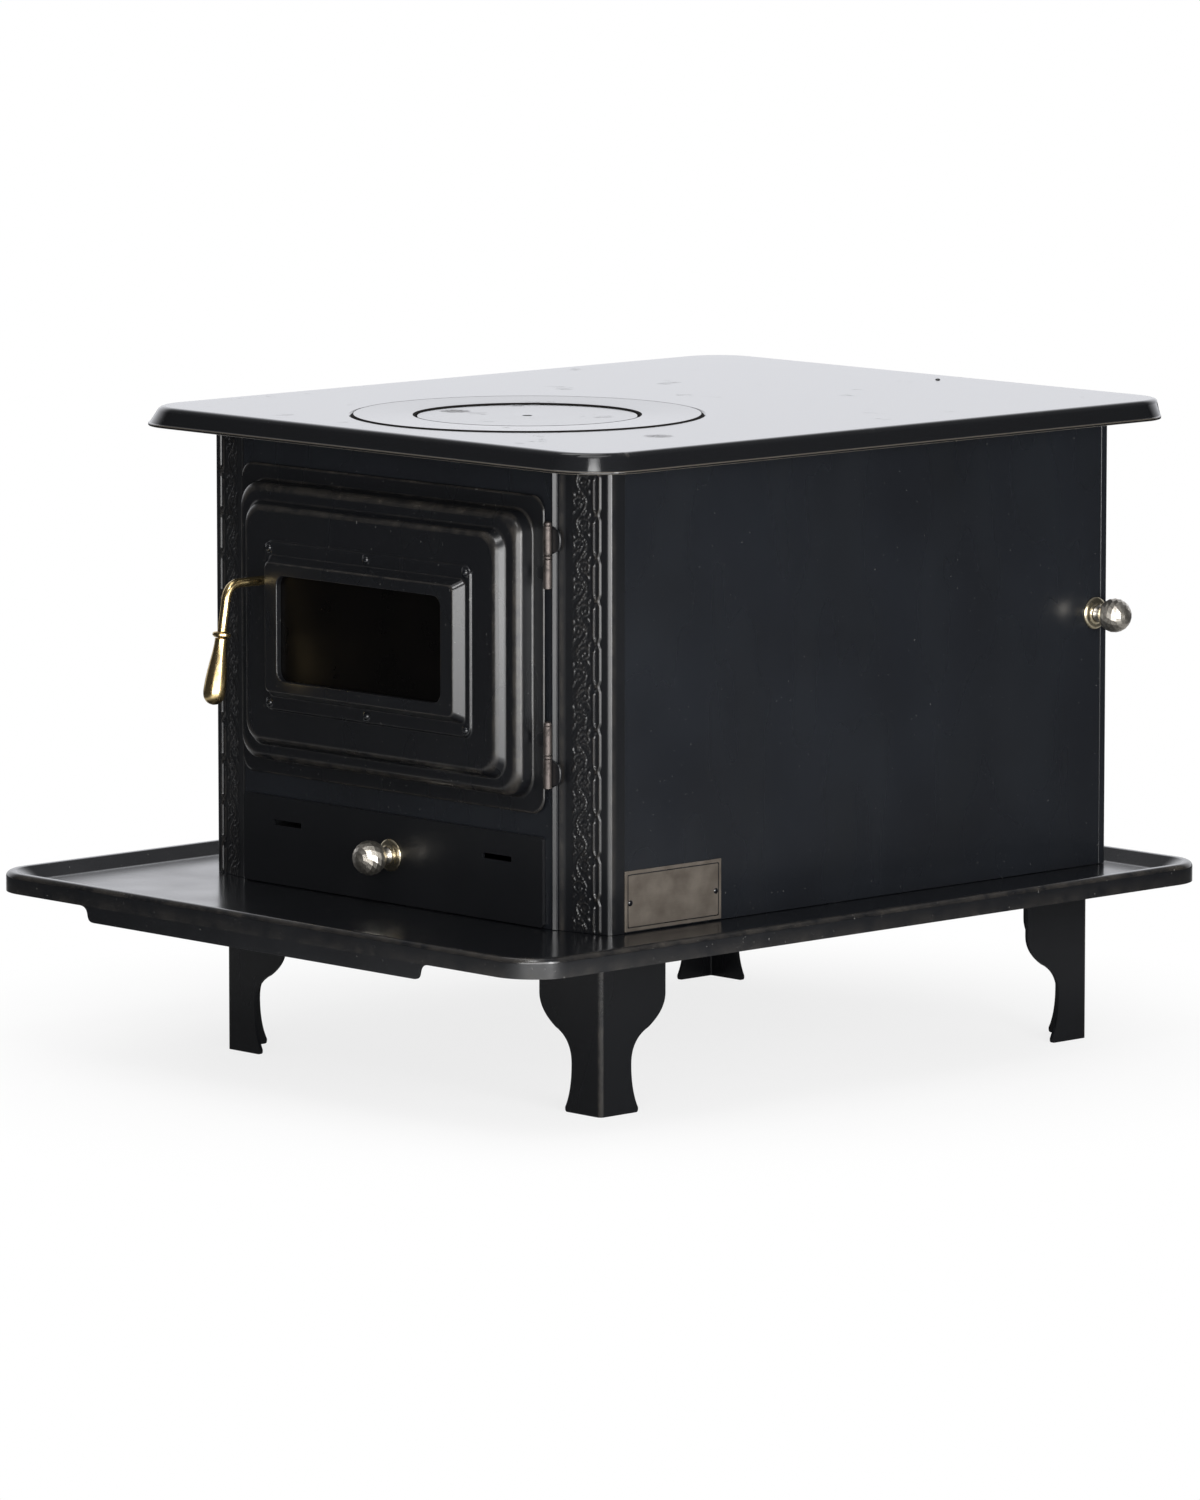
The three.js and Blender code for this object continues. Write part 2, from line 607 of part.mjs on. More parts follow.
const rearPath = [
  [halfBody, rearY - REAR_TURN],
  [halfBody, rearY, REAR_CORNER_RADIUS],
  [-halfBody, rearY, REAR_CORNER_RADIUS],
  [-halfBody, rearY - REAR_TURN],
];

function rearPanel() {
  const wall = bentSheet(rearPath, SHEET, wallFoot, wallTop);
  return cut(wall, rod(FLUE_RADIUS + GAP, 4 * SHEET, 32).translate(0, rearY, flueZ));
}
add('rear_panel', rearPanel(), enamel());

// ---------------------------------------------------------------- top plate and cooking rings
// A hole whose foot is narrower, leaving a ledge for the ring or lid of this radius.
function steppedHole(radius, ledgeTop) {
  return [
    disc(radius + RING_CLEARANCE, ledgeTop, STOVE_HEIGHT + 1),
    disc(radius - RING_LEDGE, ledgeTop - 2 * LEDGE_SHEET, STOVE_HEIGHT),
  ];
}

function topPlate() {
  const halfWidth = halfBody + PLATE_SIDE_LAP;
  const halfDepth = (PLATE_FRONT_LAP + BODY_DEPTH + PLATE_REAR_LAP) / 2;
  const foot = STOVE_HEIGHT - PLATE_SKIRT;
  const path = [
    [-PLATE_FLARE - PLATE_HEM_PROUD, foot],
    [-PLATE_FLARE - PLATE_HEM_PROUD, foot + PLATE_HEM, PLATE_HEM_RADIUS],
    [-PLATE_FLARE + PLATE_HEM_PROUD / 2, foot + PLATE_HEM + PLATE_HEM_PROUD / 3, PLATE_HEM_PROUD / 3],
    [0, STOVE_HEIGHT, PLATE_EDGE_RADIUS],
    [PLATE_RING_START, STOVE_HEIGHT],
  ];
  const top = roundPath(path, 3);
  const inner = [
    [-PLATE_FLARE + 2, foot],
    [3, plateUnder, 3],
    [PLATE_RING_START, plateUnder],
  ];
  const under = roundPath(inner, 3);
  const rings = [...top.reverse(), ...under].map(([inset, z]) => {
    const radius = Math.max(PLATE_CORNER - inset, INNER_CORNER);
    const ring = rectangleRing(halfWidth - inset, halfDepth - inset, radius, 5);
    return ring.map(([x, y]) => [x, y + plateFrontY + halfDepth, z]);
  });
  const seat = disc(RING_RADIUS + LEDGE_LAP, plateUnder - LEDGE_SHEET, plateUnder + PLATE_SHEET / 2);
  return cut(join(skin(rings, false), seat), ...steppedHole(RING_RADIUS, plateUnder));
}
add('top_plate', topPlate(), enamel());

function cookingRing() {
  const bottom = plateUnder + GAP;
  const body = disc(RING_RADIUS, bottom, STOVE_HEIGHT);
  const ledge = disc(LID_RADIUS + LEDGE_LAP, bottom - LEDGE_SHEET, bottom + LEDGE_SHEET / 2);
  return cut(join(body, ledge), ...steppedHole(LID_RADIUS, bottom));
}
add('cooking_ring', cookingRing(), castIron());

const lidUnder = plateUnder + 2 * GAP;
const liftHole = upright(rod(LIFT_HOLE_RADIUS, 4 * PLATE_SHEET, 16)).translate(0, ringY, STOVE_HEIGHT);
add('centre_lid', cut(disc(LID_RADIUS, lidUnder, STOVE_HEIGHT), liftHole), castIron());

// ---------------------------------------------------------------- firebox
const fireboxFront = frontY + FIREBOX_START;
const fireboxRear = rearY - SMOKE_SPACE - BRICK;
const brickInner = halfBody - SHEET - GAP - BRICK;
const shelfZ = TRAY_FLOOR + SHELF_ABOVE_TRAY;
const brickFoot = shelfZ + SHELF_SHEET + GAP;
const brickTop = brickFoot + BRICK_HEIGHT;
const grateFront = frontY + GRATE_FRONT_SHELF;
const grateRear = fireboxRear - GRATE_REAR_SHELF;
const grateMid = (grateFront + grateRear) / 2;
const grateHalfDepth = (grateRear - grateFront) / 2;

function fireboxShelf() {
  const wide = halfBody - SHEET - GAP;
  const narrow = columnInner - GAP;
  const step = columnBackY + SHELF_CLEARANCE;
  const outline = new THREE.Shape();
  outline.moveTo(-narrow, frontY + SHEET + GAP);
  outline.lineTo(narrow, frontY + SHEET + GAP);
  outline.lineTo(narrow, step);
  outline.lineTo(wide, step);
  outline.lineTo(wide, fireboxRear + BRICK);
  outline.lineTo(-wide, fireboxRear + BRICK);
  outline.lineTo(-wide, step);
  outline.lineTo(-narrow, step);
  outline.holes.push(roundedOutline(0, grateMid, GRATE_HALF_WIDTH - GRATE_LAP,
    grateHalfDepth - GRATE_LAP, GRATE_SEAT_CORNER, THREE.Path));
  return thicken(outline, SHELF_SHEET, 3).translate(0, 0, shelfZ);
}
add('firebox_shelf', fireboxShelf(), castIron());

function grate() {
  const outline = roundedOutline(0, grateMid, GRATE_HALF_WIDTH, grateHalfDepth, GRATE_CORNER);
  const pitch = GRATE_SLOT + GRATE_BAR;
  const count = Math.floor((2 * (GRATE_HALF_WIDTH - GRATE_LAP) - GRATE_BAR) / pitch);
  for (let i = 0; i < count; i += 1) {
    const x = (i - (count - 1) / 2) * pitch;
    for (const half of [-1, 1]) {
      const y = grateMid + half * grateHalfDepth / 2;
      // The end radius stays just under half the slot, so that no edge has zero length.
      outline.holes.push(roundedOutline(x, y, GRATE_SLOT / 2, grateHalfDepth / 2 - GRATE_LAP - GRATE_BRIDGE,
        GRATE_SLOT / 2 - 0.1, THREE.Path));
    }
  }
  return thicken(outline, GRATE_THICKNESS, 1).translate(0, 0, brickFoot);
}
add('grate', grate(), castIron());

const brickOuter = brickInner + BRICK;
const sideBrick = (x) => block(x, x + BRICK, fireboxFront, fireboxRear, brickFoot, brickTop);
add('brick_left', sideBrick(-brickOuter), fireBrick());
add('brick_right', sideBrick(brickInner), fireBrick());
add('brick_rear', block(-brickOuter, brickOuter, fireboxRear + GAP, fireboxRear + BRICK,
  brickFoot, brickTop), fireBrick());
add('baffle', block(-brickOuter, brickOuter, frontY + BAFFLE_START, fireboxRear + BRICK,
  brickTop + GAP, brickTop + GAP + BAFFLE_SHEET), castIron());

// ---------------------------------------------------------------- flue and damper
function flueCollar() {
  const inner = FLUE_RADIUS - FLUE_SHEET;
  const start = damperY - flapRadius - 2 * FLAP_CLEARANCE;
  const length = rearY + FLUE_REACH - start;
  const tube = turned([
    [inner, 0],
    [FLUE_RADIUS, 0],
    [FLUE_RADIUS, length - FLUE_CRIMP],
    [FLUE_RADIUS - 1, length],
    [inner - 1, length],
    [inner, length - FLUE_CRIMP],
    [inner, 0],
  ], 32);
  return cut(tube.translate(0, start, flueZ), damperShaftHole());
}
add('flue_collar', flueCollar(), enamel());

function flueFlange() {
  const inner = FLUE_RADIUS + GAP;
  const outer = FLUE_RADIUS + FLUE_FLANGE;
  const section = [[inner, 0], [outer, 0], [outer, FLANGE_SHEET], [inner, FLANGE_SHEET], [inner, 0]];
  return turned(section, 32).translate(0, rearY + GAP, flueZ);
}
add('flue_flange', flueFlange(), enamel());

const shaftEnd = halfBody + SHAFT_IN_KNOB;
const shaftStart = -FLUE_RADIUS - SHAFT_TAIL;
add('damper_shaft', alongX(rod(DAMPER_SHAFT_RADIUS, shaftEnd - shaftStart, 20))
  .translate((shaftStart + shaftEnd) / 2, damperY, flueZ), zincSteel());

// The flap is a disc with a rolled channel over the shaft; it lies along the flue, open.
function damperFlap() {
  const plate = upright(rod(flapRadius, DAMPER_FLAP, 32));
  const channelLength = 2 * (flapRadius - FLAP_CHANNEL_INSET);
  const channel = alongX(rod(DAMPER_SHAFT_RADIUS + GAP + DAMPER_FLAP, channelLength, 16));
  const bore = alongX(rod(DAMPER_SHAFT_RADIUS + GAP, 3 * flapRadius, 16));
  return cut(join(plate, channel), bore).translate(0, damperY, flueZ);
}
add('damper_flap', damperFlap(), castIron());

// ---------------------------------------------------------------- knobs
// Rose, waisted neck and flattened ball, turned about the axis they stand out along.
function knobRose() {
  return turned([
    [0, 0],
    [ROSE_RADIUS, 0],
    [ROSE_RADIUS, ROSE_HEIGHT / 3],
    [ROSE_RADIUS - 1.4, ROSE_HEIGHT * 2 / 3],
    [KNOB_FOOT + 2.4, ROSE_HEIGHT - 0.2],
    [0, ROSE_HEIGHT],
  ], 18);
}
function knobBall() {
  const foot = ROSE_HEIGHT + GAP;
  const back = KNOB_CENTRE - KNOB_THICKNESS / 2;
  const profile = [
    [0, foot],
    [KNOB_FOOT, foot],
    [KNOB_FOOT - 0.4, foot + 1.8],
    [KNOB_NECK, foot + 5],
    [KNOB_NECK + 0.2, back - 0.8],
  ];
  for (let i = 2; i <= 10; i += 1) {
    const angle = -Math.PI / 2 + i * Math.PI / 10;
    profile.push([KNOB_RADIUS * Math.cos(angle), KNOB_CENTRE + KNOB_THICKNESS / 2 * Math.sin(angle)]);
  }
  profile[profile.length - 1][0] = 0;
  return turned(profile, 18);
}
const onSide = (geometry) => alongX(geometry).translate(halfBody + GAP, damperY, flueZ);
const shaftSocket = alongX(rod(DAMPER_SHAFT_RADIUS + GAP, 2 * (SHAFT_IN_KNOB + GAP), 16))
  .translate(halfBody, damperY, flueZ);
add('damper_rose', cut(onSide(knobRose()), shaftSocket), brass());
add('damper_knob', cut(onSide(knobBall()), shaftSocket), nickel());

// ---------------------------------------------------------------- ash drawer
const drawerFace = frontY - GAP - DRAWER_FRONT_SHEET;
const drawerFrontFoot = TRAY_FLOOR + DRAWER_FRONT_LIFT;
const drawerFrontTop = drawerFrontFoot + DRAWER_FRONT_HEIGHT;
const slotZ = drawerFrontTop - SLOT_BELOW_TOP;
function drawerFront() {
  const outline = roundedOutline(doorX, drawerFrontFoot + DRAWER_FRONT_HEIGHT / 2,
    doorHalfWidth - DRAWER_FRONT_INSET, DRAWER_FRONT_HEIGHT / 2, DRAWER_FRONT_CORNER);
  for (const side of [-1, 1]) {
    outline.holes.push(roundedOutline(doorX + side * SLOT_FROM_CENTRE, slotZ,
      SLOT_LENGTH / 2, SLOT_HEIGHT / 2, SLOT_CORNER, THREE.Path));
  }
  return sheetXZ(outline, drawerFace, DRAWER_FRONT_SHEET, 3);
}
add('drawer_front', drawerFront(), enamel());

function drawerBox() {
  const [x0, x1] = [doorX - DRAWER_HALF_WIDTH, doorX + DRAWER_HALF_WIDTH];
  const [y0, y1] = [frontY, frontY + DRAWER_DEPTH];
  const [z0, z1] = [drawerFloor, drawerFloor + DRAWER_HEIGHT];
  const hollow = block(x0 + DRAWER_SHEET, x1 - DRAWER_SHEET, y0 + DRAWER_SHEET, y1 - DRAWER_SHEET,
    z0 + DRAWER_SHEET, z1 + DRAWER_HEIGHT);
  // The front wall is notched behind the air slots.
  const notches = [-1, 1].map((side) => {
    const x = doorX + side * SLOT_FROM_CENTRE;
    const half = SLOT_LENGTH / 2 + SLOT_NOTCH;
    return block(x - half, x + half, y0 - 1, y0 + 2 * DRAWER_SHEET, slotZ - SLOT_HEIGHT / 2 - SLOT_NOTCH,
      z1 + DRAWER_HEIGHT);
  });
  return cut(block(x0, x1, y0, y1, z0, z1), hollow, ...notches);
}
add('drawer_box', drawerBox(), zincSteel());
function onDrawer(geometry) {
  return facingFront(geometry).translate(doorX, drawerFace - GAP, drawerFrontTop - DRAWER_KNOB_BELOW_TOP);
}
add('drawer_rose', onDrawer(knobRose()), brass());
add('drawer_knob', onDrawer(knobBall()), nickel());

// Angle runners: the drawer slides on their feet, between their upright leaves.
function drawerRunner(side) {
  const outer = DRAWER_HALF_WIDTH + RUNNER_CLEARANCE + RUNNER_SHEET;
  const inner = outer - RUNNER_FOOT;
  const foot = runnerTop - RUNNER_SHEET;
  const leafTop = foot + RUNNER_LEAF;
  const section = new THREE.Shape([
    [inner, foot], [outer, foot], [outer, leafTop],
    [outer - RUNNER_SHEET, leafTop], [outer - RUNNER_SHEET, runnerTop], [inner, runnerTop],
  ].map(([x, z]) => new THREE.Vector2(side * x + doorX, z)));
  return sheetXZ(section, frontY + RUNNER_START, DRAWER_DEPTH + RUNNER_BEYOND - RUNNER_START, 1);
}
add('drawer_runner_left', drawerRunner(-1), zincSteel());
add('drawer_runner_right', drawerRunner(1), zincSteel());

// ---------------------------------------------------------------- door
// One pressed sheet: flange, two steps, a shallow panel, the raised window frame and its turned-in edge.
function doorSkin() {
  const plateau = STEP1_RISE + STEP2_RISE;
  const panel = plateau + PANEL_RISE;
  const crown = panel + FRAME_RISE;
  // Each wall: insets across and up, depths at its foot and shoulder, bend radii there, corner radius.
  const walls = [
    { inset: [STEP1_INSET, STEP1_INSET], rise: [0, STEP1_RISE], bends: [2, 7], corner: 20 },
    { inset: [STEP2_INSET, STEP2_INSET], rise: [STEP1_RISE, plateau], bends: [2.4, 8], corner: 17 },
    { inset: [PANEL_INSET, PANEL_INSET], rise: [plateau, panel], bends: [1.2, 1.8], corner: 9 },
    { inset: [FRAME_INSET_X, FRAME_INSET_Z], rise: [panel, crown], bends: [1.6, 4], corner: 5.5 },
  ];
  const edgeCorner = 14;
  const paneBend = 2.6;
  const paneInset = [doorHalfWidth - paneHalfWidth, doorHalfHeight - paneHalfHeight];
  // The same walls seen across (0) and up (1); the depths agree, only the insets differ.
  const pathOf = (axis) => {
    const path = [[0, 0, 0, edgeCorner]];
    for (const { inset, rise, bends, corner } of walls) {
      const draft = Math.min(1.2, (rise[1] - rise[0]) / 6);
      path.push([inset[axis], rise[0], bends[0], corner]);
      path.push([inset[axis] + draft, rise[1], bends[1], corner]);
    }
    path.push([paneInset[axis], crown, paneBend, PANE_CORNER]);
    path.push([paneInset[axis], crown - paneTurn, 0, PANE_CORNER]);
    return path;
  };
  const steps = 2;
  const surface = (move) => {
    const [across, up] = [0, 1].map((axis) => {
      const path = pathOf(axis);
      const moved = move ? offsetPath(path, move) : path.map(([x, y, r]) => [x, y, r]);
      return { points: roundPath(moved, steps), radii: path.map((p) => [p[3], p[2]]) };
    });
    const radii = across.radii.flatMap(([r, bend], i) => (
      bend && i > 0 && i < across.radii.length - 1 ? Array(steps + 1).fill(r) : [r]));
    return across.points.map(([inset, depth], i) => {
      const ring = rectangleRing(doorHalfWidth - inset, doorHalfHeight - up.points[i][0],
        Math.max(radii[i] - (move ? 1 : 0), 1.5), 4);
      return ring.map(([x, z]) => [doorX + x, flangeFaceY - depth, doorZ + z]);
    });
  };
  return skin([...surface(0), ...surface(-DOOR_SHEET).reverse()], true);
}
const spindleX = doorX - doorHalfWidth + HANDLE_FROM_EDGE;
const spindleZ = doorZ + HANDLE_ABOVE_CENTRE;
function spindleHole(y, length) {
  return rod(HANDLE_ROD_RADIUS + GAP, length, 20).translate(spindleX, y, spindleZ);
}
const doorFaceY = flangeFaceY - STEP1_RISE - STEP2_RISE - PANEL_RISE;
add('door_skin', cut(doorSkin(), spindleHole(doorFaceY, 20)), enamel());

// Behind the window frame, from the front: glass, rope seal, retainer.
const glassHalfWidth = frameHalfWidth - GLASS_CLEARANCE;
const glassHalfHeight = frameHalfHeight - GLASS_CLEARANCE;
const glassFront = doorFaceY - FRAME_RISE + paneTurn + GAP;
const glassBack = glassFront + GLASS_SHEET;
const glassOutline = roundedOutline(doorX, doorZ, glassHalfWidth, glassHalfHeight, GLASS_CORNER);
add('window_glass', sheetXZ(glassOutline, glassFront, GLASS_SHEET, 3), ceramicGlass());
add('glass_seal', frameXZ(doorX, doorZ, glassHalfWidth, glassHalfHeight, GLASS_CORNER, GLASS_SEAL_WIDTH,
  glassBack + GAP, GLASS_SEAL), rope());

// The retainer's rim is as wide as it takes to reach from its lap to just inside the opening.
function glassRetainer() {
  const outline = roundedOutline(doorX, doorZ, frameHalfWidth + RETAINER_LAP_X,
    frameHalfHeight + RETAINER_LAP_Z, RETAINER_CORNER);
  outline.holes.push(roundedOutline(doorX, doorZ, paneHalfWidth - RETAINER_IN_PANE,
    paneHalfHeight - RETAINER_IN_PANE, GLASS_CORNER, THREE.Path));
  return sheetXZ(outline, glassBack + GLASS_SEAL + 2 * GAP, RETAINER_SHEET, 3);
}
add('glass_retainer', glassRetainer(), zincSteel());

// Liner sheet across the back of the pressing, and the rope that seals the mouth.
const linerBack = frontY - LINER_STANDOFF;
function doorLiner() {
  const inset = STEP1_INSET + DOOR_SHEET + LINER_CLEARANCE;
  const outline = roundedOutline(doorX, doorZ, doorHalfWidth - inset, doorHalfHeight - inset, LINER_CORNER);
  outline.holes.push(roundedOutline(doorX, doorZ, paneHalfWidth, paneHalfHeight, PANE_CORNER, THREE.Path));
  return cut(sheetXZ(outline, linerBack - LINER_SHEET, LINER_SHEET, 5), spindleHole(linerBack, 10));
}
add('door_liner', doorLiner(), zincSteel());
const sealReach = SEAL_CLEARANCE + SEAL_WIDTH;
add('door_seal', frameXZ(doorX, doorZ, mouthHalfWidth + sealReach, mouthHalfHeight + sealReach, MOUTH_CORNER,
  SEAL_WIDTH, linerBack + GAP, LINER_STANDOFF - 2 * GAP), rope());

// ---------------------------------------------------------------- hinges
const hingeX = doorX + doorHalfWidth + HINGE_FROM_DOOR;
const hingeY = frontY - HINGE_STANDOFF;
const doorLeafY = flangeFaceY - GAP - HINGE_LEAF;
const bodyLeafY = frontY - COLUMN_BEAD - GAP - HINGE_BODY_LEAF;
function knuckle(z0, z1) {
  return upright(rod(HINGE_RADIUS, z1 - z0, 16)).translate(hingeX, hingeY, (z0 + z1) / 2);
}
function hingeBore(z, length) {
  return upright(rod(HINGE_PIN_RADIUS + PIN_CLEARANCE, length, 16)).translate(hingeX, hingeY, z);
}

// Leaf outline from the knuckle out to a rounded end, narrower than the knuckle on the door's side.
function hingeLeaf(z0, z1, reach, endHalf) {
  const mid = (z0 + z1) / 2;
  const leaf = new THREE.Shape();
  leaf.moveTo(hingeX, z0);
  leaf.lineTo(hingeX + reach * 0.55, mid - endHalf);
  leaf.quadraticCurveTo(hingeX + reach, mid - endHalf, hingeX + reach, mid);
  leaf.quadraticCurveTo(hingeX + reach, mid + endHalf, hingeX + reach * 0.55, mid + endHalf);
  leaf.lineTo(hingeX, z1);
  return leaf;
}

for (const [name, side] of [['upper', 1], ['lower', -1]]) {
  const middle = doorZ + side * HINGE_SPREAD / 2;
  const half = HINGE_WASHER / 2;
  const above = [middle + half + GAP, middle + half + GAP + HINGE_KNUCKLE];
  const below = [middle - half - GAP - HINGE_KNUCKLE, middle - half - GAP];
  const [bodySpan, doorSpan] = side > 0 ? [above, below] : [below, above];
  const bodyOutline = hingeLeaf(...bodySpan, HINGE_BODY_REACH, HINGE_BODY_END);
  const doorOutline = hingeLeaf(...doorSpan, -HINGE_LEAF_REACH, HINGE_LEAF_END);
  const bodyLeaf = sheetXZ(bodyOutline, bodyLeafY, HINGE_BODY_LEAF, 4);
  const doorLeaf = sheetXZ(doorOutline, doorLeafY, HINGE_LEAF, 4);
  const bore = hingeBore(middle, 4 * HINGE_KNUCKLE);
  add(`hinge_body_${name}`, cut(join(knuckle(...bodySpan), bodyLeaf), bore), enamel());
  add(`hinge_door_${name}`, cut(join(knuckle(...doorSpan), doorLeaf), bore), enamel());
  add(`hinge_washer_${name}`, cut(knuckle(middle - half, middle + half), bore), zincSteel());
  const shank = 2 * HINGE_KNUCKLE + HINGE_WASHER + 3 * GAP + PIN_PROUD;
  const pin = upright(turned([
    [0, 0], [HINGE_PIN_RADIUS, 0], [HINGE_PIN_RADIUS, shank], [HINGE_RADIUS - 0.4, shank],
    [HINGE_RADIUS - 1, shank + PIN_HEAD - 0.6], [0, shank + PIN_HEAD],
  ], 16)).translate(hingeX, hingeY, below[0] - PIN_PROUD);
  add(`hinge_pin_${name}`, pin, zincSteel());
}

// ---------------------------------------------------------------- handle and latch
const lean = THREE.MathUtils.degToRad(HANDLE_LEAN);
const elbow = new THREE.Vector3(spindleX, doorFaceY - HANDLE_REACH, spindleZ);
const gripDown = new THREE.Vector3(0, -Math.sin(lean), -Math.cos(lean));
const camFront = frontY + CAM_BEHIND;

function handleRod() {
  const start = new THREE.Vector3(spindleX, camFront + CAM_SHEET + ROD_PAST_CAM, spindleZ);
  const before = elbow.clone().add(new THREE.Vector3(0, HANDLE_BEND, 0));
  const after = elbow.clone().addScaledVector(gripDown, HANDLE_BEND);
  const end = elbow.clone().addScaledVector(gripDown, HANDLE_DROP);
  const path = new THREE.CurvePath();
  path.add(new THREE.LineCurve3(start, before));
  path.add(new THREE.QuadraticBezierCurve3(before, elbow, after));
  path.add(new THREE.LineCurve3(after, end));
  const section = new THREE.Shape().absarc(0, 0, HANDLE_ROD_RADIUS, 0, 2 * Math.PI);
  const settings = { steps: 25, curveSegments: 5, extrudePath: path, bevelEnabled: false };
  return new THREE.ExtrudeGeometry(section, settings);
}
add('handle_rod', handleRod(), brass());

// A piece turned about the leaning grip axis, measured down from the elbow.
function onGrip(profile, from, segments) {
  const swing = new THREE.Quaternion().setFromUnitVectors(new THREE.Vector3(0, 1, 0), gripDown);
  const place = elbow.clone().addScaledVector(gripDown, from);
  return turned(profile, segments).applyQuaternion(swing).translate(place.x, place.y, place.z);
}
const rodEnd = HANDLE_DROP + GAP;
add('handle_collar', onGrip([
  [0, 0],
  [HANDLE_ROD_RADIUS + 0.6, 0],
  [COLLAR_RADIUS, 1],
  [COLLAR_RADIUS, COLLAR_HEIGHT - 1],
  [COLLAR_NECK, COLLAR_HEIGHT],
  [0, COLLAR_HEIGHT],
], rodEnd, 20), brass());
// Teardrop: radius against the share of its length from the collar.
add('handle_grip', onGrip([
  [0, 0],
  [GRIP_NECK, 0],
  [GRIP_NECK + 0.8, GRIP_LENGTH * 0.2],
  [GRIP_RADIUS * 0.8, GRIP_LENGTH * 0.45],
  [GRIP_RADIUS * 0.97, GRIP_LENGTH * 0.68],
  [GRIP_RADIUS, GRIP_LENGTH * 0.8],
  [GRIP_RADIUS * 0.87, GRIP_LENGTH * 0.91],
  [GRIP_RADIUS * 0.6, GRIP_LENGTH * 0.98],
  [0, GRIP_LENGTH],
], rodEnd + COLLAR_HEIGHT + GAP, 20), brass());

// Friction cam on the spindle's inner end: its nose bears on the edge of the firebox mouth.
function latchCam() {
  const jamb = doorX - mouthHalfWidth;
  const nose = spindleX - jamb - CAM_CLEARANCE;
  const outline = new THREE.Shape();
  outline.moveTo(-nose, -CAM_NOSE);
  outline.lineTo(0, -CAM_HUB);
  outline.absarc(0, 0, CAM_HUB, -Math.PI / 2, Math.PI / 2, false);
  outline.lineTo(-nose, CAM_NOSE);
  const plate = sheetXZ(outline, 0, CAM_SHEET, 6).translate(spindleX, camFront, spindleZ);
  return cut(plate, spindleHole(camFront, 20));
}
add('latch_cam', latchCam(), zincSteel());

// ---------------------------------------------------------------- name plate, left bare
const namePlateX = halfBody + GAP;
const namePlateY = frontY + NAME_PLATE_FROM_FRONT;
const namePlateZ = TRAY_FLOOR + NAME_PLATE_LIFT;
add('name_plate', block(namePlateX, namePlateX + NAME_PLATE_SHEET, namePlateY, namePlateY + NAME_PLATE_WIDTH,
  namePlateZ, namePlateZ + NAME_PLATE_HEIGHT), plateMetal());

export default group;
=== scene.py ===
"""Looks of a low enamelled steel stove with a cooking top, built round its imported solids.

Lengths are written in millimetres and turned to metres as each mesh is made.
+Z is up, the door faces -Y, and the floor is at z = 0.
"""
import math

import bmesh
import bpy
import numpy as np
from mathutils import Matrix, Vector

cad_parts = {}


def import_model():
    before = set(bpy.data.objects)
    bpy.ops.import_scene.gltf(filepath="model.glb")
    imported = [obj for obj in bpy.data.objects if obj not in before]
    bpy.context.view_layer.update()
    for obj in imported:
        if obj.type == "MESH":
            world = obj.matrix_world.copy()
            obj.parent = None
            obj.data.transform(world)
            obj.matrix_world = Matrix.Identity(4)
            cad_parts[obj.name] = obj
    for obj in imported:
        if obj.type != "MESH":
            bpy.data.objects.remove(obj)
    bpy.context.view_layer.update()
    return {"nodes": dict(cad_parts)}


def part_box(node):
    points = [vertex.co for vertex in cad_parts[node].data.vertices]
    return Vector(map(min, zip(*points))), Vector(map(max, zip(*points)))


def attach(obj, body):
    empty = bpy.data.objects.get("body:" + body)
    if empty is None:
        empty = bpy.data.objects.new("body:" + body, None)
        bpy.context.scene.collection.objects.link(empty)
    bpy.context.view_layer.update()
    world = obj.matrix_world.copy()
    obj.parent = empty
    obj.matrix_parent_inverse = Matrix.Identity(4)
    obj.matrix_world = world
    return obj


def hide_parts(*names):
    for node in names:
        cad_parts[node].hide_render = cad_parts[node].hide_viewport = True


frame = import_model()
bpy.context.scene.view_settings.view_transform = "Standard"

MM = 0.001
NODES = frame["nodes"]


# ---------------------------------------------------------------- places read from the solids
def span(node):
    """Lowest and highest corner of a solid, in millimetres."""
    low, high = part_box(node)
    return np.array(low) / MM, np.array(high) / MM


def middle(node):
    low, high = span(node)
    return (low + high) / 2


# ---------------------------------------------------------------- materials
def linear(code, alpha=1.0):
    """An sRGB hex colour as linear RGBA."""
    parts = [int(code[i:i + 2], 16) / 255 for i in (1, 3, 5)]
    return tuple(c / 12.92 if c <= 0.04045 else ((c + 0.055) / 1.055) ** 2.4 for c in parts) + (alpha,)


def add_node(tree, kind, inputs, output=0, **settings):
    """Adds a shader node with its settings, sets or links each input, and gives back one of its outputs.

    A MapRange's inputs 1 to 4 are the range that it reads and the range that it gives. A Mix's input 0 is
    the share of its second value; its numbers are 2 and 3, its colours 6 and 7, its mixed colour output 2.
    """
    node = tree.nodes.new("ShaderNode" + kind)
    for key, value in settings.items():
        setattr(node, key, value)
    for key, value in inputs.items():
        if isinstance(value, bpy.types.NodeSocket):
            tree.links.new(value, node.inputs[key])
        else:
            node.inputs[key].default_value = value
    return node.outputs[output] if node.outputs else None


def new_material(name):
    """An empty material, and the place on the piece in metres that its patterns are laid out by."""
    material = bpy.data.materials.new(name)
    material.use_nodes = True
    material.node_tree.nodes.clear()
    return material, material.node_tree, add_node(material.node_tree, "TexCoord", {}, "Object")


def per_mm(size):
    """Texture scale at which one lump of a pattern is `size` millimetres across."""
    return 1 / (size * MM)


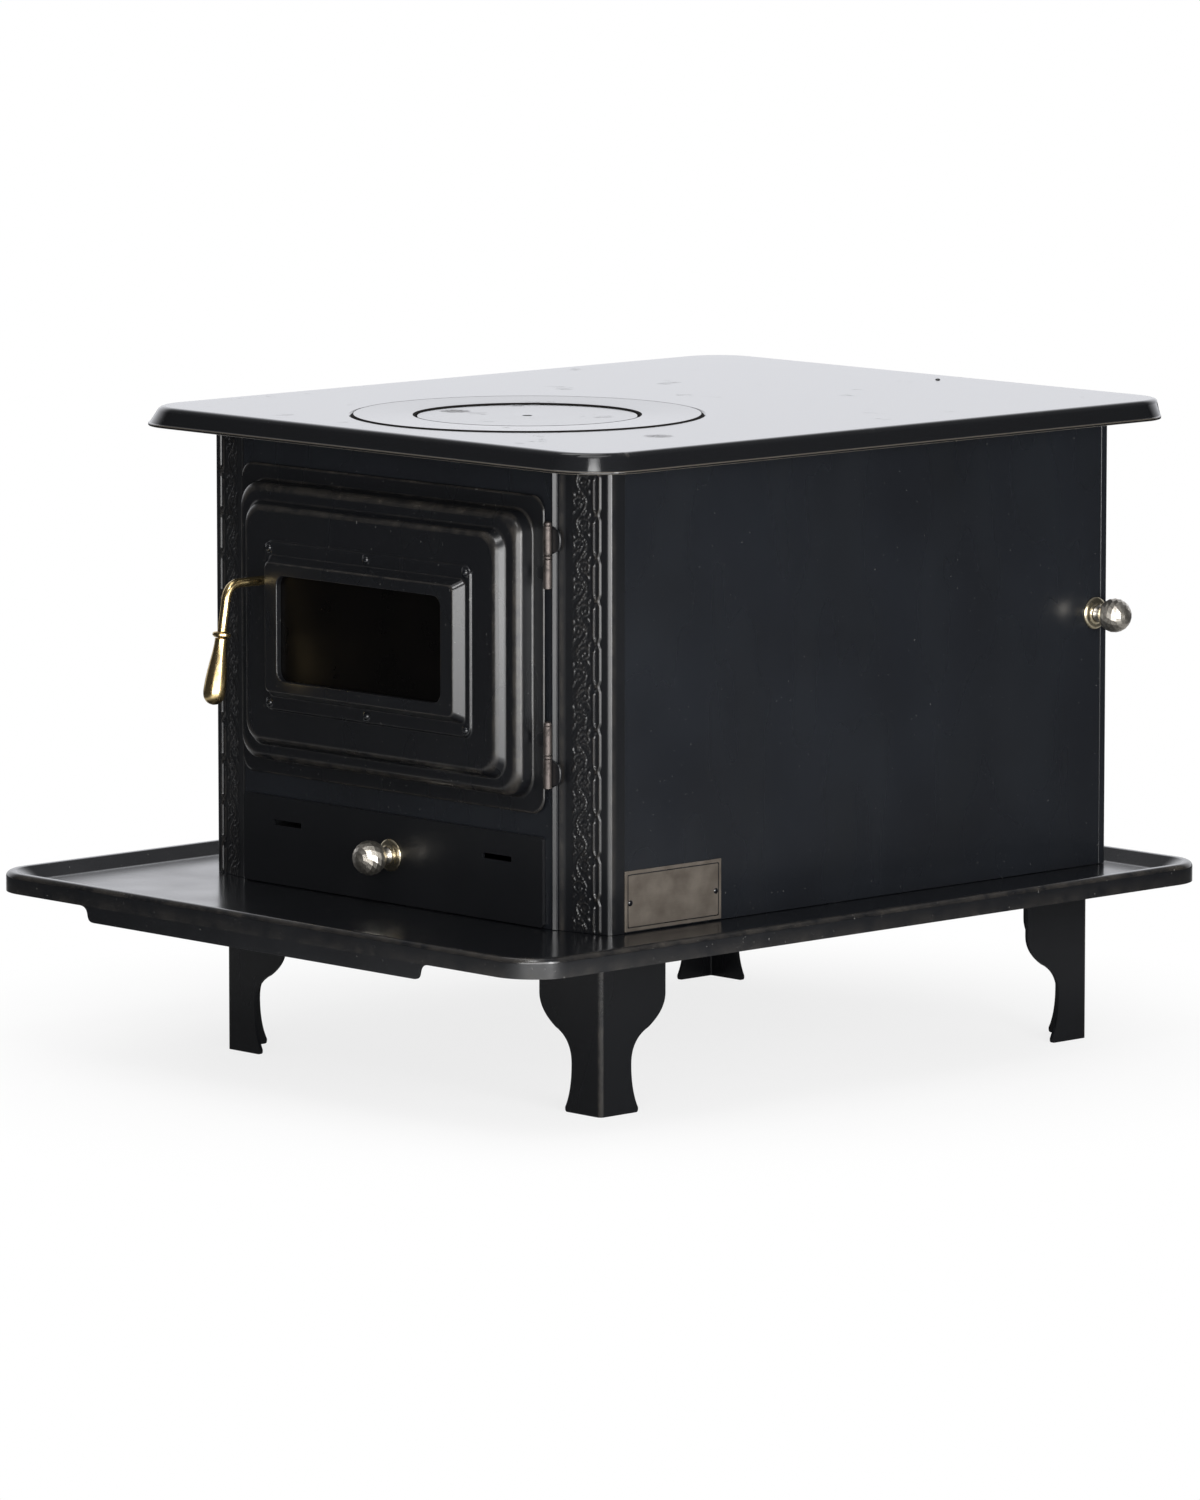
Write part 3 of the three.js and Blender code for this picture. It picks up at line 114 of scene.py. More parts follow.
def stove_enamel(name, roughness, base="#0d0e10", cloud="#131417", wear_and_sheen_to="#5a544c", wear_and_sheen_amount=0.5, dust=0.0,
                 ior=1.56, coat=0.25):
    """Black stove enamel, sprayed and baked on pressed steel.

    To the eye: a blue-black satin with a fine orange peel, clouded over a hand's breadth by wiping, and on
    its sharpest bends (a mesh attribute) a thin brown-grey line, partly rubbed wear and partly a painted
    highlight, with a few specks of dust.
    """
    material, tree, place = new_material(name)
    wiped = add_node(tree, "TexNoise", {"Vector": place, "Scale": per_mm(110), "Detail": 4.0}, "Fac")
    body = add_node(tree, "Mix", {0: wiped, 6: linear(base), 7: linear(cloud)}, 2, data_type="RGBA")
    wear_and_sheen = add_node(tree, "Attribute", {}, "Fac", attribute_name="wear_and_sheen")
    patch = add_node(tree, "TexNoise", {
        "Vector": place, "Scale": per_mm(16), "Detail": 4.0, "Roughness": 0.7}, "Fac")
    patchy = add_node(tree, "MapRange", {0: patch, 1: 0.35, 2: 0.7, 3: 0.0, 4: wear_and_sheen_amount})
    # Bends are mixed towards the light brown-grey: partly rubbed wear, partly a painted highlight along them.
    rubbed = add_node(tree, "Math", {0: wear_and_sheen, 1: patchy}, operation="MULTIPLY")
    colour = add_node(tree, "Mix", {0: rubbed, 6: body, 7: linear(wear_and_sheen_to)}, 2, data_type="RGBA")
    specks = add_node(tree, "TexNoise", {"Vector": place, "Scale": per_mm(2.6), "Detail": 1.0}, "Fac")
    lint = add_node(tree, "MapRange", {0: specks, 1: 0.75, 2: 0.79, 3: 0.0, 4: dust})
    dusty = add_node(tree, "Mix", {0: lint, 6: colour, 7: linear("#8d8c88")}, 2, data_type="RGBA")
    smear = add_node(tree, "Mapping", {"Vector": place, "Scale": (1, 1, 0.35)})
    streak = add_node(tree, "TexNoise", {"Vector": smear, "Scale": per_mm(60), "Detail": 1.5}, "Fac")
    rough = add_node(tree, "MapRange", {0: streak, 1: 0.3, 2: 0.7, 3: roughness - 0.04, 4: roughness + 0.06})
    peel = add_node(tree, "TexNoise", {"Vector": place, "Scale": per_mm(1.8), "Detail": 2.0}, "Fac")
    normal = add_node(tree, "Bump", {"Height": peel, "Distance": 0.01 * MM})
    shader = add_node(tree, "BsdfPrincipled", {
        "Base Color": dusty, "Roughness": rough, "IOR": ior, "Normal": normal, "Coat Weight": coat,
        "Coat Roughness": 0.15})
    add_node(tree, "OutputMaterial", {"Surface": shader})
    return material


def seasoned_plate(name, roughness, coat, stain_at):
    """Blackened steel and iron cooking plate, ground flat, then rubbed with oil and burnt in.

    To the eye: near-black when looked down on and a bright, faintly blue mirror of the room at a flat angle,
    with grinding lines, a few boiled-over stains (the plainest at `stain_at`), and on the hem a tan line that
    is partly rubbed wear and partly a painted highlight.
    """
    material, tree, place = new_material(name)
    boil = add_node(tree, "TexNoise", {
        "Vector": place, "Scale": per_mm(46), "Detail": 6.0, "Roughness": 0.65}, "Fac")
    stain = add_node(tree, "MapRange", {0: boil, 1: 0.64, 2: 0.76})
    flecks = add_node(tree, "TexNoise", {
        "Vector": place, "Scale": per_mm(3.2), "Detail": 4.0, "Roughness": 0.7}, "Fac")
    crust = add_node(tree, "MapRange", {0: flecks, 1: 0.42, 2: 0.6})
    spot = add_node(tree, "VectorMath", {0: place, 1: (*(v * MM for v in stain_at), PLATE_TOP * MM)}, "Value",
                    operation="DISTANCE")
    boiled_over = add_node(tree, "MapRange", {0: spot, 1: 15 * MM, 2: 5 * MM},
                           interpolation_type="SMOOTHSTEP")
    stained = add_node(tree, "Math", {0: stain, 1: boiled_over}, operation="MAXIMUM")
    crusted = add_node(tree, "Math", {0: stained, 1: crust}, operation="MULTIPLY")
    height = add_node(tree, "SeparateXYZ", {0: place}, 2)
    on_the_flat = add_node(tree, "MapRange", {0: height, 1: (PLATE_TOP - 4) * MM, 2: (PLATE_TOP - 2.5) * MM})
    mark = add_node(tree, "Math", {0: crusted, 1: on_the_flat}, operation="MULTIPLY")
    scorched = add_node(tree, "Mix", {0: mark, 6: linear("#0e0f11"), 7: linear("#3d3a36")}, 2,
                        data_type="RGBA")
    wear_and_sheen = add_node(tree, "Attribute", {}, "Fac", attribute_name="wear_and_sheen")
    # The hem's tan line: rubbed wear and a painted highlight.
    colour = add_node(tree, "Mix", {0: wear_and_sheen, 6: scorched, 7: linear("#5a544b")}, 2, data_type="RGBA")
    dull = add_node(tree, "MapRange", {0: mark, 1: 0.0, 2: 1.0, 3: roughness, 4: roughness + 0.22})
    drawn = add_node(tree, "Mapping", {"Vector": place, "Scale": (0.03, 1, 1)})
    grind = add_node(tree, "TexNoise", {"Vector": drawn, "Scale": per_mm(1.3), "Detail": 2.0}, "Fac")
    ground = add_node(tree, "Bump", {"Height": grind, "Distance": 0.003 * MM})
    normal = add_node(tree, "Bump", {"Height": mark, "Distance": 0.25 * MM, "Normal": ground})
    shader = add_node(tree, "BsdfPrincipled", {
        "Base Color": colour, "Roughness": dull, "IOR": 1.5, "Normal": normal, "Coat Weight": coat,
        "Coat Roughness": 0.06, "Coat Normal": normal})
    add_node(tree, "OutputMaterial", {"Surface": shader})
    return material


def cast_iron():
    """Sand-cast iron: matt and dark, with a grain of about a millimetre and patches of rust."""
    material, tree, place = new_material("cast_iron_sand_cast")
    rust = add_node(tree, "TexNoise", {"Vector": place, "Scale": per_mm(30), "Detail": 5.0}, "Fac")
    bloom = add_node(tree, "MapRange", {0: rust, 1: 0.55, 2: 0.75, 3: 0.0, 4: 0.6})
    colour = add_node(tree, "Mix", {0: bloom, 6: linear("#242425"), 7: linear("#3a2e27")}, 2,
                      data_type="RGBA")
    grain = add_node(tree, "TexNoise", {"Vector": place, "Scale": per_mm(1.2), "Detail": 3.0}, "Fac")
    normal = add_node(tree, "Bump", {"Height": grain, "Distance": 0.25 * MM})
    shader = add_node(tree, "BsdfPrincipled", {
        "Base Color": colour, "Roughness": 0.68, "Metallic": 0.2, "Normal": normal})
    add_node(tree, "OutputMaterial", {"Surface": shader})
    return material


def groove_shade_skin():
    """A near-black, crumbly, matt skin on an iron lip that gives back almost no light: painted shade in the
    groove beside it.
    """
    material, tree, place = new_material("painted_groove_shade")
    crumbs = add_node(tree, "TexNoise", {"Vector": place, "Scale": per_mm(1.5), "Detail": 4.0}, "Fac")
    colour = add_node(tree, "Mix", {0: crumbs, 6: linear("#0b0a09"), 7: linear("#1f1b18")}, 2,
                      data_type="RGBA")
    normal = add_node(tree, "Bump", {"Height": crumbs, "Distance": 0.2 * MM})
    shader = add_node(tree, "BsdfPrincipled", {
        "Base Color": colour, "Roughness": 0.9, "Specular IOR Level": 0.2, "Normal": normal})
    add_node(tree, "OutputMaterial", {"Surface": shader})
    return material


def zinc_plate():
    """Zinc-plated sheet steel, rolled: a soft grey sheen drawn out along the rolling, with a dull spangle."""
    material, tree, place = new_material("zinc_plated_steel")
    spangle = add_node(tree, "TexNoise", {"Vector": place, "Scale": per_mm(12), "Detail": 3.0}, "Fac")
    colour = add_node(tree, "Mix", {0: spangle, 6: linear("#6d7073"), 7: linear("#8d9093")}, 2,
                      data_type="RGBA")
    drawn = add_node(tree, "Mapping", {"Vector": place, "Scale": (1, 0.05, 1)})
    rolled = add_node(tree, "TexNoise", {"Vector": drawn, "Scale": per_mm(0.9), "Detail": 2.0}, "Fac")
    rough = add_node(tree, "MapRange", {0: rolled, 1: 0.3, 2: 0.7, 3: 0.32, 4: 0.5})
    normal = add_node(tree, "Bump", {"Height": rolled, "Distance": 0.008 * MM})
    shader = add_node(tree, "BsdfPrincipled", {
        "Base Color": colour, "Roughness": rough, "Metallic": 1.0, "Normal": normal})
    add_node(tree, "OutputMaterial", {"Surface": shader})
    return material


def rubbed_steel():
    """Mild steel whose enamel has rubbed off: a soft pinkish grey, darker where some enamel is left."""
    material, tree, place = new_material("mild_steel_rubbed_bare")
    left = add_node(tree, "TexNoise", {
        "Vector": place, "Scale": per_mm(7), "Detail": 5.0, "Roughness": 0.7}, "Fac")
    patch = add_node(tree, "MapRange", {0: left, 1: 0.5, 2: 0.68, 3: 0.0, 4: 0.75})
    colour = add_node(tree, "Mix", {0: patch, 6: linear("#605956"), 7: linear("#1f1d1c")}, 2,
                      data_type="RGBA")
    turned = add_node(tree, "Mapping", {"Vector": place, "Scale": (1, 1, 0.2)})
    scratch = add_node(tree, "TexNoise", {"Vector": turned, "Scale": per_mm(0.7), "Detail": 2.0}, "Fac")
    normal = add_node(tree, "Bump", {"Height": scratch, "Distance": 0.01 * MM})
    shader = add_node(tree, "BsdfPrincipled", {
        "Base Color": colour, "Roughness": 0.46, "Metallic": 0.85, "Normal": normal})
    add_node(tree, "OutputMaterial", {"Surface": shader})
    return material


def polished_brass(name, clean, tarnish, spread):
    """Turned or bent brass, polished by hand and lacquered long ago.

    To the eye: a warm yellow mirror, browner in fingertip patches where tarnish has crept under the lacquer.
    """
    material, tree, place = new_material(name)
    creep = add_node(tree, "TexNoise", {
        "Vector": place, "Scale": per_mm(9), "Detail": 5.0, "Roughness": 0.65}, "Fac")
    patch = add_node(tree, "MapRange", {0: creep, 1: 0.45, 2: 0.7, 3: 0.0, 4: spread})
    colour = add_node(tree, "Mix", {0: patch, 6: linear(clean), 7: linear(tarnish)}, 2, data_type="RGBA")
    rough = add_node(tree, "MapRange", {0: patch, 1: 0.0, 2: 1.0, 3: 0.2, 4: 0.38})
    wave = add_node(tree, "TexNoise", {"Vector": place, "Scale": per_mm(3.0), "Detail": 2.0}, "Fac")
    normal = add_node(tree, "Bump", {"Height": wave, "Distance": 0.02 * MM})
    shader = add_node(tree, "BsdfPrincipled", {
        "Base Color": colour, "Roughness": rough, "Metallic": 1.0, "Normal": normal})
    add_node(tree, "OutputMaterial", {"Surface": shader})
    return material


def antique_nickel():
    """Nickel plate over a faceted casting, antiqued: bright on most facets, with brown in patches."""
    material, tree, place = new_material("antique_nickel_plate")
    specks = add_node(tree, "TexNoise", {
        "Vector": place, "Scale": per_mm(2.5), "Detail": 4.0, "Roughness": 0.65}, "Fac")
    dirt = add_node(tree, "MapRange", {0: specks, 1: 0.45, 2: 0.75, 3: 0.0, 4: 0.7})
    colour = add_node(tree, "Mix", {0: dirt, 6: linear("#dcd6cb"), 7: linear("#5f5546")}, 2, data_type="RGBA")
    rough = add_node(tree, "MapRange", {0: dirt, 1: 0.0, 2: 1.0, 3: 0.33, 4: 0.5})
    normal = add_node(tree, "Bump", {"Height": specks, "Distance": 0.03 * MM})
    shader = add_node(tree, "BsdfPrincipled", {
        "Base Color": colour, "Roughness": rough, "Metallic": 1.0, "Normal": normal})
    add_node(tree, "OutputMaterial", {"Surface": shader})
    return material


def glass_painted_dark():
    """Glass-ceramic pane hazed by heat, made near-black so little shows through: painted shade of the
    firebox, with a soft sheen.
    """
    material, tree, place = new_material("glass_ceramic_painted_dark")
    soot = add_node(tree, "TexNoise", {"Vector": place, "Scale": per_mm(45), "Detail": 4.0}, "Fac")
    # Near-black base and little transmission: painted shade of the unlit firebox behind the pane.
    colour = add_node(tree, "Mix", {0: soot, 6: linear("#040404"), 7: linear("#080605")}, 2, data_type="RGBA")
    rough = add_node(tree, "MapRange", {0: soot, 1: 0.3, 2: 0.7, 3: 0.26, 4: 0.36})
    shader = add_node(tree, "BsdfPrincipled", {
        "Base Color": colour, "Roughness": rough, "IOR": 1.2, "Transmission Weight": 0.1})
    add_node(tree, "OutputMaterial", {"Surface": shader})
    return material


def glass_rope():
    """Woven glass-fibre rope: off-white, sooty in patches, with a plait about two millimetres across."""
    material, tree, place = new_material("glass_fibre_rope")
    plait = add_node(tree, "TexVoronoi", {"Vector": place, "Scale": per_mm(2)})
    smoke = add_node(tree, "TexNoise", {"Vector": place, "Scale": per_mm(25), "Detail": 4.0}, "Fac")
    soot = add_node(tree, "MapRange", {0: smoke, 1: 0.35, 2: 0.7})
    yarn = add_node(tree, "Mix", {0: soot, 6: linear("#a9a497"), 7: linear("#57524a")}, 2, data_type="RGBA")
    # Darker where the plait's bump is lowest: painted shade in its hollows.
    plait_hollow_shade = add_node(tree, "MapRange", {0: plait, 1: 0.0, 2: 0.6, 3: 0.5, 4: 0.0})
    colour = add_node(tree, "Mix", {0: plait_hollow_shade, 6: yarn, 7: linear("#2a2723")}, 2, data_type="RGBA")
    normal = add_node(tree, "Bump", {"Height": plait, "Distance": 0.5 * MM})
    shader = add_node(tree, "BsdfPrincipled", {
        "Base Color": colour, "Roughness": 0.95, "Sheen Weight": 0.2, "Normal": normal})
    add_node(tree, "OutputMaterial", {"Surface": shader})
    return material


def fire_brick():
    """Pressed vermiculite fire brick: sandy yellow-brown and granular, blackened by soot in broad patches."""
    material, tree, place = new_material("vermiculite_fire_brick")
    grain = add_node(tree, "TexNoise", {
        "Vector": place, "Scale": per_mm(3.5), "Detail": 3.0, "Roughness": 0.7}, "Fac")
    brick = add_node(tree, "Mix", {0: grain, 6: linear("#b08a5b"), 7: linear("#caa878")}, 2, data_type="RGBA")
    smoke = add_node(tree, "TexNoise", {"Vector": place, "Scale": per_mm(70), "Detail": 4.0}, "Fac")
    soot = add_node(tree, "MapRange", {0: smoke, 1: 0.4, 2: 0.65, 3: 0.15, 4: 0.9})
    colour = add_node(tree, "Mix", {0: soot, 6: brick, 7: linear("#241f1b")}, 2, data_type="RGBA")
    normal = add_node(tree, "Bump", {"Height": grain, "Distance": 0.7 * MM})
    shader = add_node(tree, "BsdfPrincipled", {"Base Color": colour, "Roughness": 0.95, "Normal": normal})
    add_node(tree, "OutputMaterial", {"Surface": shader})
    return material


def etched_plate():
    """Thin etched sheet, taupe and dull, brushed along its length and rubbed darker in patches."""
    material, tree, place = new_material("etched_name_plate")
    cloud = add_node(tree, "TexNoise", {"Vector": place, "Scale": per_mm(22), "Detail": 5.0}, "Fac")
    rub = add_node(tree, "MapRange", {0: cloud, 1: 0.35, 2: 0.7})
    colour = add_node(tree, "Mix", {0: rub, 6: linear("#6a635b"), 7: linear("#4f4841")}, 2, data_type="RGBA")
    drawn = add_node(tree, "Mapping", {"Vector": place, "Scale": (1, 0.04, 1)})
    brushed = add_node(tree, "TexNoise", {"Vector": drawn, "Scale": per_mm(0.8), "Detail": 2.0}, "Fac")
    rough = add_node(tree, "MapRange", {0: brushed, 1: 0.3, 2: 0.7, 3: 0.4, 4: 0.55})
    normal = add_node(tree, "Bump", {"Height": brushed, "Distance": 0.006 * MM})
    shader = add_node(tree, "BsdfPrincipled", {
        "Base Color": colour, "Roughness": rough, "Metallic": 0.35, "Normal": normal})
    add_node(tree, "OutputMaterial", {"Surface": shader})
    return material


PLATE_TOP = span("top_plate")[1][2]
ENAMEL = stove_enamel("stove_enamel_satin", 0.27, dust=0.25)
RIVET_ENAMEL = stove_enamel("stove_enamel_rivet_heads", 0.13)
PANEL_ENAMEL = stove_enamel("stove_enamel_panels", 0.26, "#111215", "#1d2025", dust=0.2)
COLUMN_ENAMEL = stove_enamel("stove_enamel_pressed", 0.3, wear_and_sheen_amount=0.4)
TRAY_ENAMEL = stove_enamel("stove_enamel_tray", 0.2, wear_and_sheen_amount=0.35, dust=0.4)
DRAWER_ENAMEL = stove_enamel("stove_enamel_drawer", 0.37, ior=1.5, coat=0.1)
LEG_ENAMEL = stove_enamel("stove_enamel_legs", 0.27, wear_and_sheen_amount=0.4, ior=1.45, coat=0.05)
HINGE_ENAMEL = stove_enamel("stove_enamel_worn_hinges", 0.3, wear_and_sheen_to="#7a6f66", wear_and_sheen_amount=0.8)
PLATE = seasoned_plate("cooking_plate_oiled", 0.13, 0.5, (201, -144))
RING_IRON = seasoned_plate("cooking_ring_oiled", 0.15, 0.5, (-67, -120))
IRON = cast_iron()
GROOVE_SHADE = groove_shade_skin()
ZINC = zinc_plate()
RUBBED = rubbed_steel()
BRASS = polished_brass("brass_polished", "#e4cb95", "#8f6c38", 0.65)
ROSE_BRASS = polished_brass("brass_rose_tarnished", "#e6dabd", "#7d6a45", 0.8)
NICKEL = antique_nickel()
GLASS_PAINTED_DARK = glass_painted_dark()
ROPE = glass_rope()
BRICK = fire_brick()
ETCHED = etched_plate()


# ---------------------------------------------------------------- meshes
UP = (0, 0, 1)
SHORTEST_RADIUS = 0.01  # a rounded rectangle's corner is never sharper
ON_THE_AXIS = 0.05  # a profile that starts nearer to its axis than this is closed there
SAME_POINT = 1e-6  # metres
FLAT_ANGLE = math.radians(0.5)  # folds under it are joined to one face
EASED_ANGLE = math.radians(30)  # folds over it are eased


def add_object(name, data):
    """A new object of the scene, at the origin."""
    added = bpy.data.objects.new(name, data)
    bpy.context.scene.collection.objects.link(added)
    return added


def finish_piece(name, mesh, sharp, material, body, replaces):
    """Smooths a mesh but for its edges over `sharp` degrees; it rides on a body and stands for its solids."""
    mesh.polygons.foreach_set("use_smooth", np.ones(len(mesh.polygons), bool))
    mesh.set_sharp_from_angle(angle=math.radians(sharp))
    mesh.update()
    mesh.materials.clear()
    mesh.materials.append(material)
    piece = add_object(name, mesh)
    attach(piece, body)
    if replaces:
        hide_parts(*replaces)
    piece.modifiers.new("flats_stay_flat", "WEIGHTED_NORMAL").keep_sharp = True


def grid_faces(rows, columns, closed):
    """Four-sided faces between neighbouring rings of points; `closed` joins the last ring to the first."""
    i = np.arange(rows if closed else rows - 1)[:, None]
    j = np.arange(columns)[None, :]
    here, onward = j, (j + 1) % columns
    ring, next_ring = i * columns, (i + 1) % rows * columns
    corners = [ring + here, ring + onward, next_ring + onward, next_ring + here]
    return np.stack(corners, axis=-1).reshape(-1, 4).tolist()


def outward(points, faces):
    """Turns all faces of a closed shape round if it encloses a negative volume."""
    p = points.reshape(-1, 3)
    total = 0.0
    for size in {len(f) for f in faces}:
        f = np.array([face for face in faces if len(face) == size])
        for k in range(1, size - 1):
            total += np.einsum("ij,ij->i", p[f[:, 0]], np.cross(p[f[:, k]], p[f[:, k + 1]])).sum()
    return faces if total > 0 else [face[::-1] for face in faces]


def shell(name, rings, material, body, replaces=(), closed=False, sharp=35, wear_and_sheen=None):
    """A skin through equal rings of points: capped at both ends, or closed on itself like a tube bent round.

    Points are in millimetres. The last argument says how far each ring, or each point, has lost its enamel or
    carries a painted highlight.
    """
    rings = np.asarray(rings, float)
    rows, columns = rings.shape[:2]
    faces = grid_faces(rows, columns, closed)
    if not closed:
        faces += [list(range(columns))[::-1], list(range((rows - 1) * columns, rows * columns))]
    mesh = bpy.data.meshes.new(name)
    mesh.from_pydata(rings.reshape(-1, 3) * MM, [], outward(rings, faces))
    if wear_and_sheen is not None:
        each = wear_and_sheen if np.ndim(wear_and_sheen) == 2 else np.repeat(np.asarray(wear_and_sheen)[:, None], columns, axis=1)
        layer = mesh.attributes.new("wear_and_sheen", "FLOAT", "POINT")
        layer.data.foreach_set("value", np.asarray(each, np.float32).ravel())
    finish_piece(name, mesh, sharp, material, body, replaces)


def rounded(path, steps=6):
    """Points along a path of (x, y, radius) corners, each corner of some radius turned into an arc."""
    out = []
    for i, (x, y, r) in enumerate(path):
        corner = np.array([x, y], float)
        if not r or i in (0, len(path) - 1):
            out.append(corner)
            continue
        back = np.array(path[i - 1][:2]) - corner
        on = np.array(path[i + 1][:2]) - corner
        back, on = back / np.linalg.norm(back), on / np.linalg.norm(on)
        half = math.acos(np.clip(back @ on, -1, 1)) / 2
        towards = (back + on) / np.linalg.norm(back + on)
        centre = corner + towards * r / math.sin(half)
        start, end = corner + back * r / math.tan(half) - centre, corner + on * r / math.tan(half) - centre
        sweep = math.atan2(start[0] * end[1] - start[1] * end[0], start @ end)
        for t in np.linspace(0, 1, steps + 1):
            c, s = math.cos(sweep * t), math.sin(sweep * t)
            out.append(centre + (start[0] * c - start[1] * s, start[0] * s + start[1] * c))
    return np.array(out)


def rectangle_ring(cx, cy, a, b, r, steps=10):
    """Points anticlockwise round a rectangle of half sizes a and b with corners of radius r."""
    r = max(min(r, a, b), SHORTEST_RADIUS)
    signs = np.array([[1, 1], [-1, 1], [-1, -1], [1, -1]])
    turn = np.linspace(0, np.pi / 2, steps + 1)[None, :] + np.arange(4)[:, None] * np.pi / 2
    x = cx + signs[:, :1] * (a - r) + r * np.cos(turn)
    y = cy + signs[:, 1:] * (b - r) + r * np.sin(turn)
    return np.stack([x.ravel(), y.ravel()], axis=1)


def about(axis):
    """The axis as a unit vector, and two unit vectors square to it and to each other."""
    axis = np.array(axis, float) / np.linalg.norm(axis)
    side = np.cross(axis, (0, 0, 1) if abs(axis[2]) < 0.9 else (1, 0, 0))
    side /= np.linalg.norm(side)
    return axis, side, np.cross(axis, side)


def lathe(name, profile, place, axis, material, body, replaces=(), steps=64, sharp=35, turn=0.0):
    """A profile of (radius, distance along the axis) turned about an axis through `place`.

    Each row of the profile is turned by `turn` radians from the one below it, which cuts a row of facets.
    A profile that ends where it starts, away from the axis, is a tube with a bore.
    """
    profile = np.asarray(profile, float)
    twist = turn * np.arange(len(profile))[:, None]
    angle = np.linspace(0, 2 * np.pi, steps, endpoint=False)[None, :] + twist
    radius, along = profile[:, 0, None, None], profile[:, 1, None, None]
    axis, side, other = about(axis)
    round_the_axis = np.cos(angle)[..., None] * side + np.sin(angle)[..., None] * other
    rings = np.asarray(place, float) + along * axis + radius * round_the_axis
    tube = profile[0, 0] > ON_THE_AXIS and np.allclose(profile[0], profile[-1])
    shell(name, rings[:-1] if tube else rings, material, body, replaces, tube, sharp)


def eased(node, width, material, body, segments=2):
    """A sheet or casting whose solid has the right outline: its triangles joined and its edges eased."""
    mesh = NODES[node].data.copy()
    work = bmesh.new()
    work.from_mesh(mesh)
    bmesh.ops.remove_doubles(work, verts=work.verts, dist=SAME_POINT)
    bmesh.ops.dissolve_limit(work, angle_limit=FLAT_ANGLE, verts=work.verts, edges=work.edges)
    edges = [e for e in work.edges if e.is_manifold and e.calc_face_angle(0) > EASED_ANGLE]
    bmesh.ops.bevel(work, geom=edges, offset=width * MM, segments=segments, profile=0.5,
                    affect="EDGES", clamp_overlap=True)
    work.to_mesh(mesh)
    work.free()
    finish_piece(f"{node}_finished", mesh, 32, material, body, (node,))


# ---------------------------------------------------------------- camera, lights and floor
CAMERA_AZIMUTH, CAMERA_ELEVATION = 46.669, 7.862  # degrees
CAMERA_DISTANCE = 7734
CAMERA_TARGET = (0, -19, 254.8)
FOCAL_LENGTH, FRAME_HEIGHT = 223.35, 36
FLOOR_REACH = 30  # metres
WHITE = (1, 1, 1, 1)


def direction(azimuth, elevation):
    """Unit vector towards a point seen from the stove; azimuth 0 is in front of the door, 90 on its right."""
    a, e = math.radians(azimuth), math.radians(elevation)
    return Vector((math.sin(a) * math.cos(e), -math.cos(a) * math.cos(e), math.sin(e)))


def camera():
    back = direction(CAMERA_AZIMUTH, CAMERA_ELEVATION)
    data = bpy.data.cameras.new("camera")
    data.sensor_fit = "VERTICAL"
    data.sensor_height = FRAME_HEIGHT
    data.lens = FOCAL_LENGTH
    data.clip_end = 100
    eye = add_object("camera", data)
    eye.location = (Vector(CAMERA_TARGET) + back * CAMERA_DISTANCE) * MM
    eye.rotation_euler = back.to_track_quat("Z", "Y").to_euler()
    bpy.context.scene.camera = eye


def softbox(name, azimuth, elevation, distance, width, height, watts, aim_height):
    """A white softbox, sized in metres, that faces the stove and doesn't show itself to the camera."""
    light = bpy.data.lights.new(name, "AREA")
    light.shape = "RECTANGLE"
    light.size, light.size_y = width, height
    light.energy = watts
    lamp = add_object(name, light)
    towards = direction(azimuth, elevation)
    lamp.location = Vector((0, 0, aim_height)) + towards * distance
    lamp.rotation_euler = towards.to_track_quat("Z", "Y").to_euler()
    lamp.visible_camera = False


def world():
    """White to the camera; in gloss a white paper wall stands behind the stove, in a dim room."""
    scene_world = bpy.data.worlds.new("studio")
    bpy.context.scene.world = scene_world
    scene_world.use_nodes = True
    tree = scene_world.node_tree
    tree.nodes.clear()
    way = add_node(tree, "TexCoord", {}, "Generated")
    facing = add_node(tree, "VectorMath", {0: way, 1: tuple(direction(226.7, 6))}, "Value",
                      operation="DOT_PRODUCT")
    paper = add_node(tree, "MapRange", {0: facing, 1: 0.4, 2: 0.9, 3: 0.04, 4: 1.08},
                     interpolation_type="SMOOTHSTEP")
    height = add_node(tree, "SeparateXYZ", {0: way}, 2)
    under_its_edge = add_node(tree, "MapRange", {0: height, 1: 0.35, 2: 0.7, 3: 1.0, 4: 0.2},
                              interpolation_type="SMOOTHSTEP")
    wall = add_node(tree, "Math", {0: paper, 1: under_its_edge}, operation="MULTIPLY")
    above = add_node(tree, "MapRange", {0: height, 1: 0.3, 2: 0.95, 3: 0.0, 4: 0.2},
                     interpolation_type="SMOOTHSTEP")
    room = add_node(tree, "Math", {0: wall, 1: above}, operation="MAXIMUM")
    rays = add_node(tree, "LightPath", {}).node.outputs
    glossy = rays["Is Glossy Ray"]
    soft = add_node(tree, "Mix", {0: glossy, 2: 0.45, 3: room})
    seen = add_node(tree, "Math", {0: rays["Is Camera Ray"], 1: rays["Is Transmission Ray"]},
                    operation="MAXIMUM")
    level = add_node(tree, "Mix", {0: seen, 2: soft, 3: 1.0})
    cool = add_node(tree, "Mix", {0: glossy, 6: WHITE, 7: (0.955, 0.965, 1.01, 1)}, 2, data_type="RGBA")
    background = add_node(tree, "Background", {"Color": cool, "Strength": level})
    add_node(tree, "OutputWorld", {"Surface": background})


